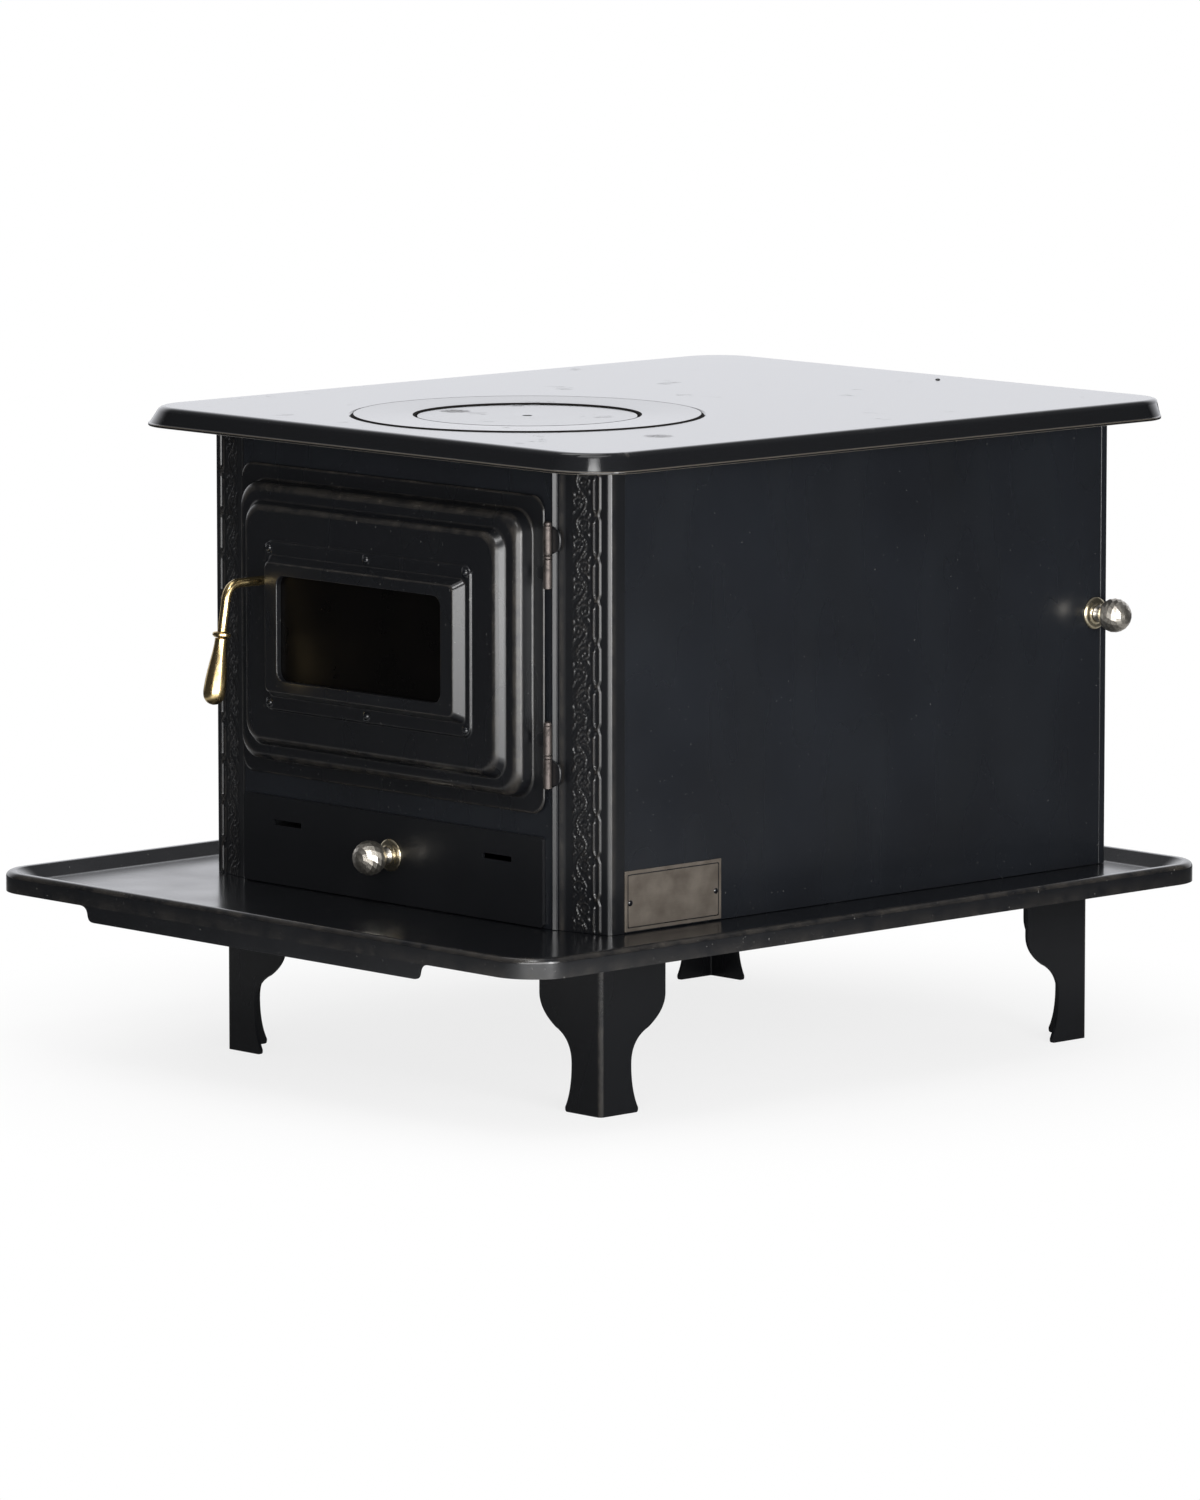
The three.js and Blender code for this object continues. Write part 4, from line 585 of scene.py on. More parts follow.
def floor():
    """A pale paper floor: white under and behind the stove, grey beside it, with its soft shadow; in
    reflections a dim glow near the stove paints that shadow.
    """
    mesh = bpy.data.meshes.new("floor")
    corners = [(-1, -1), (1, -1), (1, 1), (-1, 1)]
    mesh.from_pydata([(x * FLOOR_REACH, y * FLOOR_REACH, 0) for x, y in corners], [], [(0, 1, 2, 3)])
    material, tree, place = new_material("paper_floor")
    across = tuple(direction(CAMERA_AZIMUTH + 90, 0))
    offset = add_node(tree, "VectorMath", {0: place, 1: across}, "Value", operation="DOT_PRODUCT")
    sideways = add_node(tree, "Math", {0: offset}, operation="ABSOLUTE")
    beside = add_node(tree, "MapRange", {0: sideways, 1: 0.5, 2: 1.1}, interpolation_type="SMOOTHSTEP")
    grain = add_node(tree, "TexNoise", {"Vector": place, "Scale": per_mm(60), "Detail": 4.0}, "Fac")
    paper = add_node(tree, "Mix", {0: grain, 6: linear("#ececec"), 7: linear("#f2f2f2")}, 2, data_type="RGBA")
    colour = add_node(tree, "Mix", {0: beside, 6: paper, 7: linear("#4a4b4d")}, 2, data_type="RGBA")
    shaded = add_node(tree, "BsdfPrincipled", {
        "Base Color": colour, "Roughness": 0.9, "Specular IOR Level": 0.1})
    distance = add_node(tree, "VectorMath", {0: place}, "Value", operation="LENGTH")
    away = add_node(tree, "MapRange", {0: distance, 1: 0.3, 2: 0.7, 3: 0.8, 4: 1.0},
                    interpolation_type="SMOOTHSTEP")
    rays = add_node(tree, "LightPath", {}).node.outputs
    glossy = rays["Is Glossy Ray"]
    clear = add_node(tree, "Math", {0: rays["Is Camera Ray"], 1: rays["Is Transmission Ray"]},
                     operation="MAXIMUM")
    near = add_node(tree, "MapRange", {0: beside, 1: 0.0, 2: 1.0, 3: 0.3, 4: 0.0})
    behind = add_node(tree, "Math", {0: glossy, 1: near}, operation="MULTIPLY")
    either = add_node(tree, "Math", {0: clear, 1: behind}, operation="MAXIMUM")
    seen = add_node(tree, "Math", {0: either, 1: away}, operation="MULTIPLY")
    white = add_node(tree, "Emission", {"Color": WHITE, "Strength": 1.0})
    lit = add_node(tree, "MixShader", {0: seen, 1: shaded, 2: white})
    # In reflections the floor close to the stove is a dim glow: a painted shadow.
    close = add_node(tree, "MapRange", {0: distance, 1: 0.5, 2: 1.0, 3: 1.0, 4: 0.0},
                     interpolation_type="SMOOTHSTEP")
    painted_shadow_in_gloss = add_node(tree, "Math", {0: close, 1: glossy}, operation="MULTIPLY")
    painted_shadow_glow = add_node(tree, "Emission", {"Color": WHITE, "Strength": 0.12})
    surface = add_node(tree, "MixShader", {0: painted_shadow_in_gloss, 1: lit, 2: painted_shadow_glow})
    add_node(tree, "OutputMaterial", {"Surface": surface})
    mesh.materials.append(material)
    add_object("floor", mesh)


camera()
world()
floor()
for box in [  # azimuth, elevation, distance, width, height, watts, and the height that it looks at
    ("key_softbox", 57, 1.6, 2.0, 3.0, 0.9, 43, 0.48), ("spark_softbox", 42, 48, 3.0, 0.8, 0.8, 18, 0.3),
    ("overhead_softbox", 20, 80, 3.0, 1.6, 1.6, 10, 0.3), ("back_softbox", 250, 62, 3.2, 1.6, 1.0, 6, 0.3),
    ("strip_softbox", 79, 2, 2.4, 0.25, 1.3, 16, 0.6),
]:
    softbox(*box)


# ---------------------------------------------------------------- shapes of bent and pressed sheet
STRAIGHT_ON = 1e-9  # a corner that turns by less is straight
LEAST_BEND = 0.4


def offset_path(path, distance):
    """The (x, y, radius) path moved to its left by a sheet's thickness; the bends' radii change to match."""
    points = np.array([p[:2] for p in path], float)
    along = np.diff(points, axis=0)
    along /= np.linalg.norm(along, axis=1)[:, None]
    left = np.stack([-along[:, 1], along[:, 0]], axis=1) * distance
    moved = [(*(points[0] + left[0]), 0)]
    for i in range(1, len(path) - 1):
        a, b = along[i - 1], along[i]
        turn = a[0] * b[1] - a[1] * b[0]
        gap = points[i] + left[i] - points[i] - left[i - 1]
        reach = (gap[0] * b[1] - gap[1] * b[0]) / turn if abs(turn) > STRAIGHT_ON else 0.0
        radius = max(path[i][2] - math.copysign(1, turn) * distance, LEAST_BEND)
        moved.append((*(points[i] + left[i - 1] + a * reach), radius if path[i][2] else 0))
    moved.append((*(points[-1] + left[-1]), 0))
    return moved


def corner_numbers(path, steps):
    """For each point that `rounded` gives, the number of the corner that it belongs to."""
    last = len(path) - 1
    counts = [steps + 1 if corner[2] and 0 < i < last else 1 for i, corner in enumerate(path)]
    return np.repeat(np.arange(len(path)), counts)


def bend_marks(path, steps):
    """For each point that `rounded` gives: 0 on flats, up to the corner's fourth value in its bend."""
    numbers = corner_numbers(path, steps)
    marks = np.array([corner[3] for corner in path], float)[numbers]
    for i in np.flatnonzero(np.bincount(numbers) > 1):
        marks[numbers == i] *= np.sin(np.linspace(0, np.pi, steps + 1)) ** 0.5
    return marks


def plain(path):
    return [corner[:3] for corner in path]


def stack(insets, heights, radii, centre, half, steps, insets_up=None):
    """Rounded rectangles, one for each inset and height; a ring is (points, 3) with its height last."""
    insets_up = insets if insets_up is None else insets_up
    rings = [np.column_stack([rectangle_ring(*centre, half[0] - a, half[1] - b, r, steps),
                              np.full(4 * steps + 4, z)])
             for a, b, z, r in zip(insets, insets_up, heights, radii)]
    return np.array(rings)


def sides_filled(ring, count):
    """The same closed ring with its four straight sides divided, so that a round hole can match it."""
    quarter = len(ring) // 4
    parts = []
    for k in range(4):
        arc = ring[k * quarter:(k + 1) * quarter]
        onward = ring[(k + 1) * quarter % len(ring)]
        share = np.linspace(0, 1, count + 2)[1:-1, None]
        parts += [arc, arc[-1] + (onward - arc[-1]) * share]
    return np.concatenate(parts)


def inset_outline(outline, distance):
    """A closed anticlockwise outline moved inwards, each point along the bisector of its corner."""
    outline = np.asarray(outline, float)
    before, after = outline - np.roll(outline, 1, 0), np.roll(outline, -1, 0) - outline
    before /= np.linalg.norm(before, axis=1)[:, None]
    after /= np.linalg.norm(after, axis=1)[:, None]
    inward = np.stack([-(before + after)[:, 1], (before + after)[:, 0]], axis=1)
    inward /= np.linalg.norm(inward, axis=1)[:, None]
    cosine = inward[:, 0] * -before[:, 1] + inward[:, 1] * before[:, 0]
    return outline + inward * (distance / np.maximum(cosine, 0.4))[:, None]


def slab(name, outline, plane, start, thickness, ease, material, body):
    """A flat outline thickened from `start` square to its plane, "xz" or "xy", with both rims eased."""
    outline = np.asarray(outline, float)
    area = np.sum(outline[:, 0] * np.roll(outline[:, 1], -1) - np.roll(outline[:, 0], -1) * outline[:, 1])
    if area < 0:
        outline = outline[::-1]
    turn = np.linspace(0, np.pi / 2, 4)
    levels = [(ease * (1 - math.sin(t)), ease * (1 - math.cos(t))) for t in turn]
    levels += [(inset, thickness - depth) for inset, depth in levels[::-1]]
    rings = []
    for inset, depth in levels:
        flat = inset_outline(outline, inset)
        along = np.full(len(flat), start + depth)
        axes = (flat[:, 0], along, flat[:, 1]) if plane == "xz" else (flat[:, 0], flat[:, 1], along)
        rings.append(np.stack(axes, axis=1))
    shell(name, rings, material, body)


def curve(*controls, steps=12):
    """A Bezier curve: at each share of the way, neighbouring control points are mixed until one is left."""
    share = np.linspace(0, 1, steps + 1)[:, None]
    points = [np.array(control, float) for control in controls]
    while len(points) > 1:
        points = [(1 - share) * a + share * b for a, b in zip(points, points[1:])]
    return points[0]


def sweep(name, path, radii, material, body, slot, replaces=(), sides=28):
    """A round bar along a path of points: its section is carried without twist by turning it at each step."""
    path, radii = np.asarray(path, float), np.asarray(radii, float)
    tangent = np.gradient(path, axis=0)
    tangent /= np.linalg.norm(tangent, axis=1)[:, None]
    side = np.cross(tangent[0], (1, 0, 0) if abs(tangent[0][0]) < 0.9 else (0, 0, 1))
    carried = []
    for t in tangent:
        side = side - t * (side @ t)
        side /= np.linalg.norm(side)
        carried.append(side)
    side = np.array(carried)[:, None]
    other = np.cross(tangent, side[:, 0])[:, None]
    angle = np.linspace(0, 2 * np.pi, sides, endpoint=False)[None, :, None]
    rings = path[:, None] + radii[:, None, None] * (np.cos(angle) * side + np.sin(angle) * other)
    shell(name, rings, material, body, replaces)


# ---------------------------------------------------------------- door
SHEET_DOOR = 2.2
STEP1_INSET, STEP2_INSET, PANEL_INSET = 14.2, 31.7, 58.8  # at the top of each wall
FRAME_INSET, PANE_INSET = (69.2, 75.2), (84.0, 85.0)
FLANGE, STEP1, PLATEAU, PANEL, CROWN = 0.0, 16.0, 24.5, 26.5, 36.0  # depths in front of the flange
PANE_TURN = 5.0  # the edge turned in to the glass
RIM_TURN = 0.8  # the flange's own rim falls back by this
BACK_CORNERS = 1  # the sheet's back has its corners tighter by this
DOOR_BEND_STEPS, DOOR_CORNER_STEPS = 10, 16
RIVET_ACROSS, RIVET_UP = 119, 64  # from the window's middle


def door_section(axis):
    """Section across (0) or up (1): inset, depth, bend radius, wear and painted highlight of the bend, corner
    radius.
    """
    # Per wall: inset, draft, foot and top depths, the two bend radii, the two bends' wear with painted
    # highlight, corner radius.
    walls = [
        (STEP1_INSET, 1.5, FLANGE, STEP1, (2.0, 7.0), (0.5, 0.8), 20),
        (STEP2_INSET, 4.2, STEP1, PLATEAU, (2.4, 6.0), (0.2, 0.6), 17),
        (PANEL_INSET, 0.3, PLATEAU, PANEL, (1.2, 1.8), (0.0, 0.1), 9),
        (FRAME_INSET[axis], 5.0, PANEL, CROWN, (1.4, 2.0), (0.2, 0.7), 5.5),
    ]
    path = [(0, FLANGE - RIM_TURN, 0, 0.9, 14), (0.9, FLANGE, 0, 0.7, 14), (2.2, FLANGE, 0, 0, 14)]
    for inset, draft, foot, top, bends, wear_and_sheen_amount, corner in walls:
        path += [(inset - draft, foot, bends[0], wear_and_sheen_amount[0], corner), (inset, top, bends[1], wear_and_sheen_amount[1], corner)]
    pane = PANE_INSET[axis]
    return path + [(pane, CROWN, 0.8, 0.0, 9), (pane, CROWN - PANE_TURN, 0, 0, 9)]


def door_pressing():
    """One pressed sheet: its section, given a sheet's thickness, is carried round rounded rectangles.

    Each ring stands at the section's depth in front of the flange and is inset from the door's edge.
    """
    low, high = span("door_skin")
    centre, half = (low + high) / 2, (high - low) / 2
    flange_y = high[1] - SHEET_DOOR
    sections = [door_section(axis) for axis in (0, 1)]
    numbers = corner_numbers(sections[0], DOOR_BEND_STEPS)
    radii = np.array([corner[4] for corner in sections[0]], float)[numbers]
    rings = []
    for back in (False, True):
        paths = [offset_path(plain(section), -SHEET_DOOR) if back else plain(section) for section in sections]
        across, up = (rounded(path, DOOR_BEND_STEPS) for path in paths)
        rows = stack(across[:, 0], across[:, 1], radii - BACK_CORNERS * back, centre[[0, 2]], half[[0, 2]],
                     DOOR_CORNER_STEPS, up[:, 0])
        rings.append(rows[::-1] if back else rows)
    rings = np.concatenate(rings)
    points = np.stack([rings[..., 0], flange_y - rings[..., 2], rings[..., 1]], axis=-1)
    front = bend_marks([corner[:4] for corner in sections[0]], DOOR_BEND_STEPS)
    wear_and_sheen = np.concatenate([front, np.zeros(len(front))])
    shell("door_pressing", points, ENAMEL, "door", ("door_skin",), True, wear_and_sheen=wear_and_sheen)


def window_rivets():
    """Six domed rivets in the panel, above and below the window: two rows of three."""
    low, high = span("door_skin")
    centre = (low + high) / 2
    face = low[1] + CROWN - PANEL
    profile = [(0, -0.4), (4.6, -0.4), (4.6, 0.1), (3.9, 0.5), (3.2, 0.6), (2.9, 1.2), (1.9, 1.9),
               (0.8, 2.2), (0, 2.25)]
    for row, up in (("upper", RIVET_UP), ("lower", -RIVET_UP)):
        for column, across in (("left", -RIVET_ACROSS), ("middle", 0), ("right", RIVET_ACROSS)):
            place = (centre[0] + across, face, centre[2] + up)
            lathe(f"window_rivet_{row}_{column}", profile, place, (0, -1, 0), RIVET_ENAMEL, "door",
                  steps=28)


door_pressing()
window_rivets()
for node, width, material, slot in [
    ("window_glass", 0.6, GLASS_PAINTED_DARK, "window_glass"), ("glass_seal", 0.8, ROPE, "seal_rope"),
    ("glass_retainer", 0.4, ZINC, "zinc_steel"), ("door_liner", 0.4, ZINC, "zinc_steel"),
    ("door_seal", 2.2, ROPE, "seal_rope"),
]:
    eased(node, width, material, "door")


# ---------------------------------------------------------------- hinges
KNUCKLE_RADIUS, PIN_RADIUS, PIN_CLEARANCE, KNUCKLE_EASE = 3.4, 1.9, 0.25, 0.5
LEAF_STRAIGHT = 0.55  # share of a leaf's reach before its end is rounded
LEAF_EASE = 0.9
BODY_LEAF = (12, 9, 2.4)  # reach from the pin's axis, half its width at the end, thickness
DOOR_LEAF = (-16, 5.5, 1.8)


def hinge_leaf(name, foot, top, x, y, leaf, body):
    """Leaf from the knuckle out to a rounded end, narrower than the knuckle where it ends."""
    reach, end_half, thickness = leaf
    middle_z, start, end = (foot + top) / 2, x + reach * LEAF_STRAIGHT, x + reach
    halves = [curve((start, middle_z - end_half), (end, middle_z - end_half), (end, middle_z), steps=8),
              curve((end, middle_z), (end, middle_z + end_half), (start, middle_z + end_half), steps=8)[1:]]
    outline = np.concatenate([[(x, foot)], *halves, [(x, top)]])
    slab(name, outline, "xz", y - thickness, thickness, LEAF_EASE, HINGE_ENAMEL, body)


def hinges():
    """On each of two headed pins: a knuckle with its leaf on the body, one on the door, and a washer."""
    bore, radius, ease = PIN_RADIUS + PIN_CLEARANCE, KNUCKLE_RADIUS, KNUCKLE_EASE
    for row in ("upper", "lower"):
        x, y = middle(f"hinge_pin_{row}")[:2]
        for side, body, leaf in (("body", "stove", BODY_LEAF), ("door", "door", DOOR_LEAF)):
            node = f"hinge_{side}_{row}"
            low, high = span(node)
            tall = high[2] - low[2]
            knuckle = [(bore, 0), (radius - ease, 0), (radius, ease), (radius, tall - ease),
                       (radius - ease, tall), (bore, tall), (bore, 0)]
            lathe(f"{node}_knuckle", knuckle, (x, y, low[2]), UP, RUBBED, body, (node,), 36)
            hinge_leaf(f"{node}_leaf", low[2], high[2], x, high[1], leaf, body)
        low, high = span(f"hinge_washer_{row}")
        tall = high[2] - low[2]
        washer = [(2.15, 0), (3.1, 0), (3.5, 0.5), (3.5, tall - 0.5), (3.1, tall), (2.15, tall), (2.15, 0)]
        lathe(f"hinge_washer_{row}_turned", washer, (x, y, low[2]), UP, RUBBED, "stove",
              (f"hinge_washer_{row}",), 32)
        low, high = span(f"hinge_pin_{row}")
        tall = high[2] - low[2]
        pin = [(0, 0), (1.4, 0), (PIN_RADIUS, 0.5), (PIN_RADIUS, tall - 3), (3.1, tall - 3),
               (3.3, tall - 2.4), (2.9, tall - 1), (1.6, tall - 0.15), (0, tall)]
        lathe(f"hinge_pin_{row}_turned", pin, (x, y, low[2]), UP, RUBBED, "stove",
              (f"hinge_pin_{row}",), 32)


hinges()


# ---------------------------------------------------------------- handle
HANDLE_LEAN = math.radians(10)
ROD_RADIUS = 3.9
HANDLE_BEND, HANDLE_DROP = 13, 39  # from the elbow to the end of its bend, and to the rod's foot
COLLAR_START, GRIP_START, GRIP_LENGTH = 0.3, 5.6, 55  # past the rod's foot
GRIP_TIP = 0.9  # the share of the grip where its end starts to close


def handle():
    """Brass lever: a bar out of the door, bent down, with a turned collar and a teardrop grip on its foot."""
    low, high = span("handle_rod")
    x = (low[0] + high[0]) / 2
    rod = x - low[0]
    spindle_z = high[2] - rod
    down = np.array([0, -math.sin(HANDLE_LEAN), -math.cos(HANDLE_LEAN)])
    elbow_y = low[1] + rod * math.cos(HANDLE_LEAN) + HANDLE_DROP * math.sin(HANDLE_LEAN)
    elbow = np.array([x, elbow_y, spindle_z])
    inner, outer = elbow + [0, HANDLE_BEND, 0], elbow + down * HANDLE_BEND
    path = np.concatenate([np.linspace([x, high[1], spindle_z], inner, 8),
                           curve(inner, elbow, outer, steps=14)[1:],
                           np.linspace(outer, elbow + down * HANDLE_DROP, 6)[1:]])
    sweep("handle_rod_bent", path, np.full(len(path), ROD_RADIUS), BRASS, "handle", "brass", ("handle_rod",))
    collar = [(0, 0), (3.9, 0), (6.2, 0.5), (7.4, 1.4), (7.6, 2.5), (7.4, 3.6), (6.4, 4.5), (5.4, 5), (0, 5)]
    lathe("handle_collar_turned", collar, elbow + down * (HANDLE_DROP + COLLAR_START), down, BRASS,
          "handle", ("handle_collar",), 48)
    share = np.array([0, 0.06, 0.14, 0.25, 0.38, 0.5, 0.62, 0.72, 0.8, 0.87, 0.93, 0.97, 0.99, 1.0])
    radius = np.array([5.0, 5.05, 5.3, 6.1, 7.2, 8.05, 8.75, 9.1, 9.2, 8.9, 7.4, 5.2, 3.0, 0])
    closing = GRIP_TIP + (1 - GRIP_TIP) * np.sin(np.linspace(0, np.pi / 2, 14))[1:]
    fine = np.concatenate([np.linspace(0, GRIP_TIP, 30), closing])
    smooth = np.interp(fine, share, radius)
    smooth[1:-8] = np.convolve(np.pad(smooth, 1, "edge"), (0.25, 0.5, 0.25), "valid")[1:-8]
    grip = [(0, 0), (4.4, 0), (5.0, 0.6), *zip(smooth[1:], fine[1:] * GRIP_LENGTH)]
    lathe("handle_grip_turned", grip, elbow + down * (HANDLE_DROP + GRIP_START), down, BRASS, "handle",
          ("handle_grip",), 56)


handle()
eased("latch_cam", 0.6, ZINC, "handle")


# ---------------------------------------------------------------- knobs
BALL_CENTRE, BALL_RADIUS, BALL_HALF_HEIGHT = 22.9, 14.3, 14.0
FACET_ROWS, FACET_SIDES = 10, 17


def knob(name, rose, axis, body, rose_body):
    """Bell-shaped rose and waisted neck, turned, and a ball cut in rows of facets half a facet apart."""
    place = middle(name)
    along = int(np.argmax(np.abs(axis)))
    place[along] = span(rose)[0 if axis[along] > 0 else 1][along]
    bell = [(0, 0), (13.4, 0), (13.4, 0.8), (12.6, 1.7), (11.2, 2.2), (9.6, 2.5), (8.6, 2.9), (7.6, 3.6),
            (0, 3.6)]
    lathe(f"{rose}_turned", bell, place, axis, ROSE_BRASS, rose_body, (rose,), 48)
    neck = [(0, 3.9), (6.6, 3.9), (6.9, 4.5), (6.2, 5.6), (5.2, 7.2), (5.0, 8.8), (5.6, 10.4), (7.0, 12.0),
            (0, 12.0)]
    lathe(f"{name}_neck", neck, place, axis, NICKEL, body, (), 48)
    rows = np.radians(np.linspace(-68, 80, FACET_ROWS))
    ball = [(0, 9.4), *zip(BALL_RADIUS * np.cos(rows), BALL_CENTRE + BALL_HALF_HEIGHT * np.sin(rows)),
            (0, 36.8)]
    lathe(f"{name}_faceted", ball, place, axis, NICKEL, body, (name,), FACET_SIDES, 4,
          math.pi / FACET_SIDES)


knob("drawer_knob", "drawer_rose", (0, -1, 0), "drawer", "drawer")
knob("damper_knob", "damper_rose", (1, 0, 0), "damper", "stove")


# ---------------------------------------------------------------- top plate and cooking rings
RING_STEPS = 144
LID_SUNK = 1.2  # the lid's face under the plate's
RING_CENTRE = middle("cooking_ring")[:2]
RING_PLACE = (*RING_CENTRE, 0)
SHEET_PLATE = 4
PLATE_FLARE, HEM_PROUD = 9, 1.1  # the skirt leans out by the first, and its hem stands past it by the second
REAR_FLARE = 0.25  # the rear skirt leans out by this share of what the others do
PRESSED_CORNER, LEAST_CORNER = 40, 3  # corner radii of the plate and of the tray, outside and at their least
PLATE_BEND_STEPS, PLATE_CORNER_STEPS, SIDE_STEPS = 8, 12, 34


def top_plate():
    """Pressed plate: its edge section is carried round a rounded rectangle; its flat is open at a round hole.

    Each ring is a rounded rectangle; the hole's rings take the same angles about the hole's centre.
    """
    low, high = span("top_plate")
    foot, hem = low[2], -PLATE_FLARE
    half = (high - low)[:2] / 2 - PLATE_FLARE - HEM_PROUD
    centre = (low + high)[:2] / 2
    top, under = high[2], high[2] - SHEET_PLATE
    # The fourth value of each corner lays rubbed wear and a painted highlight along the hem's bends.
    outside = [(hem + 2, foot, 0, 0.4), (hem - 1, foot, 0.5, 1.0), (hem - 1.2, foot + 2.2, 1, 0.7),
               (hem + 0.4, foot + 2.6, 0.4, 0), (0, top, 8, 0.0), (14, top, 0, 0)]
    inside = [(14, under, 0, 0), (3, under, 3, 0), (hem + 2, foot, 0, 0)]
    over, back = rounded(plain(outside), PLATE_BEND_STEPS), rounded(plain(inside), PLATE_BEND_STEPS)[:-1]
    section = np.concatenate([over, back])
    radii = np.maximum(PRESSED_CORNER - section[:, 0], LEAST_CORNER)
    levels = stack(section[:, 0], section[:, 1], radii, centre, half, PLATE_CORNER_STEPS)
    rims = np.array([sides_filled(ring, SIDE_STEPS) for ring in levels])
    upright = sides_filled(rectangle_ring(*centre, *half, PRESSED_CORNER, PLATE_CORNER_STEPS), SIDE_STEPS)
    lean = rims[..., :2] - upright
    rearward = np.clip(1.3 * lean[..., 1] / np.maximum(np.linalg.norm(lean, axis=-1), 1e-6), 0, 1)
    eased_in = 1 - (1 - REAR_FLARE) * rearward * (section[:, :1] < 0)
    rims[..., :2] = upright + lean * eased_in[..., None]
    split = len(over)
    way = np.arctan2(rims[split - 1][:, 1] - RING_CENTRE[1], rims[split - 1][:, 0] - RING_CENTRE[0])
    hole = [(146.9, top), (145.7, top - 1.3), (145.5, under), (134, under), (134, under - 3),
            (153, under - 3), (153, under)]
    circles = [np.column_stack([RING_CENTRE[0] + radius * np.cos(way), RING_CENTRE[1] + radius * np.sin(way),
                                np.full(len(way), z)]) for radius, z in hole]
    wear_and_sheen = np.concatenate([bend_marks(outside, PLATE_BEND_STEPS), np.zeros(len(hole)),
                           bend_marks(inside, PLATE_BEND_STEPS)[:-1]])
    shell("top_plate_pressed", np.concatenate([rims[:split], circles, rims[split:]]), PLATE, "stove",
          ("top_plate",), True, 30, wear_and_sheen)


def cooking_rings():
    """Ring and lid: turned castings, the ring warped a little proud by heat and the lid lying below it.

    A near-black matt skin over the two lips of the ring that face the grooves paints the shade in those
    grooves.
    """
    low, high = span("cooking_ring")
    top, under, foot = high[2], low[2] + 3, low[2]
    ring = [(143.4, top + 0.8), (145, top - 1.2), (145, under), (99.5, under), (99.5, foot), (80.5, foot),
            (80.5, under), (92.0, under), (92.1, top - 2.6), (92.5, top - 0.7), (93.5, top - 0.2),
            (118, top + 0.2), (143.4, top + 0.8)]
    # Near-black matt skins over the lips: painted shade in the grooves.
    inner_lip = [(92.3, top - 2.7), (92.0, top - 2.7), (92.38, top - 0.66), (93.4, top - 0.12),
                 (94.2, top - 0.1), (94.2, top - 0.5), (92.3, top - 2.7)]
    outer_lip = [(142.9, top + 0.4), (142.9, top + 0.84), (143.45, top + 0.86), (145.08, top - 1.15),
                 (145.08, top - 2.4), (144.6, top - 2.4), (142.9, top + 0.4)]
    face, under = top - LID_SUNK, span("centre_lid")[0][2]
    lid = [(90.3, face), (91.4, face - 1.1), (91.5, under), (3.5, under), (3.5, face - 0.8), (4.3, face),
           (45, face - 0.2), (90.3, face)]
    for name, profile, material, body, replaces in (
        ("cooking_ring_turned", ring, RING_IRON, "ring", ("cooking_ring",)),
        ("ring_painted_shade_inner_lip", inner_lip, GROOVE_SHADE, "ring", ()),
        ("ring_painted_shade_outer_lip", outer_lip, GROOVE_SHADE, "ring", ()),
        ("centre_lid_turned", lid, RING_IRON, "lid", ("centre_lid",)),
    ):
        lathe(name, profile, RING_PLACE, UP, material, body, replaces, RING_STEPS, 30)


top_plate()
cooking_rings()


# ---------------------------------------------------------------- hearth tray and legs
SHEET_TRAY, SHEET_LEG = 2, 3
RIM_HEIGHT, LIP_DROP = 9, 16.5  # its rim's crest over the tray's flat, and over its lip's foot
TRAY_BEND_STEPS, TRAY_CORNER_STEPS = 6, 14
VALANCE_HALF_WIDTH, VALANCE_OGEE, VALANCE_DROP, VALANCE_LAP = 213, 18, 13, 1.2
LEG_BEND, LEG_BEND_STEPS, LEG_LUG = 4, 8, 26


def hearth_tray():
    """Pressed tray: its rim section is carried round a rounded rectangle and closed by the flat inside it."""
    low, high = span("hearth_tray")
    centre, half = (low + high)[:2] / 2, (high - low)[:2] / 2
    crest = high[2]
    flat, lip_foot = crest - RIM_HEIGHT, crest - LIP_DROP
    # The fourth value lays rubbed wear and a painted highlight along the lip and the rim's crest.
    path = [(0, lip_foot, 0, 0.5), (0, crest, 4.5, 0.9), (8, crest, 4.5, 0.4), (25, flat, 8, 0),
            (33, flat, 0, 0)]
    top = rounded(plain(path), TRAY_BEND_STEPS)
    under = rounded(offset_path(plain(path), -SHEET_TRAY), TRAY_BEND_STEPS)
    section = np.concatenate([top[::-1], under])
    wear_and_sheen = np.concatenate([bend_marks(path, TRAY_BEND_STEPS)[::-1], np.zeros(len(under))])
    radii = np.maximum(PRESSED_CORNER - section[:, 0], LEAST_CORNER)
    rings = stack(section[:, 0], section[:, 1], radii, centre, half, TRAY_CORNER_STEPS)
    shell("hearth_tray_pressed", rings, TRAY_ENAMEL, "stove", ("hearth_tray",), wear_and_sheen=wear_and_sheen)
    end, foot = -VALANCE_HALF_WIDTH, lip_foot - VALANCE_DROP
    left = curve((end, lip_foot), (end + VALANCE_OGEE * 0.9, lip_foot - 0.5),
                 (end + VALANCE_OGEE * 0.25, foot), (end + VALANCE_OGEE, foot), steps=18)
    outline = [(end, lip_foot + VALANCE_LAP), *left, *(left[::-1] * (-1, 1)), (-end, lip_foot + VALANCE_LAP)]
    slab("tray_valance", outline, "xz", low[1] + 0.04, SHEET_TRAY - 0.08, 0.4, TRAY_ENAMEL, "stove")


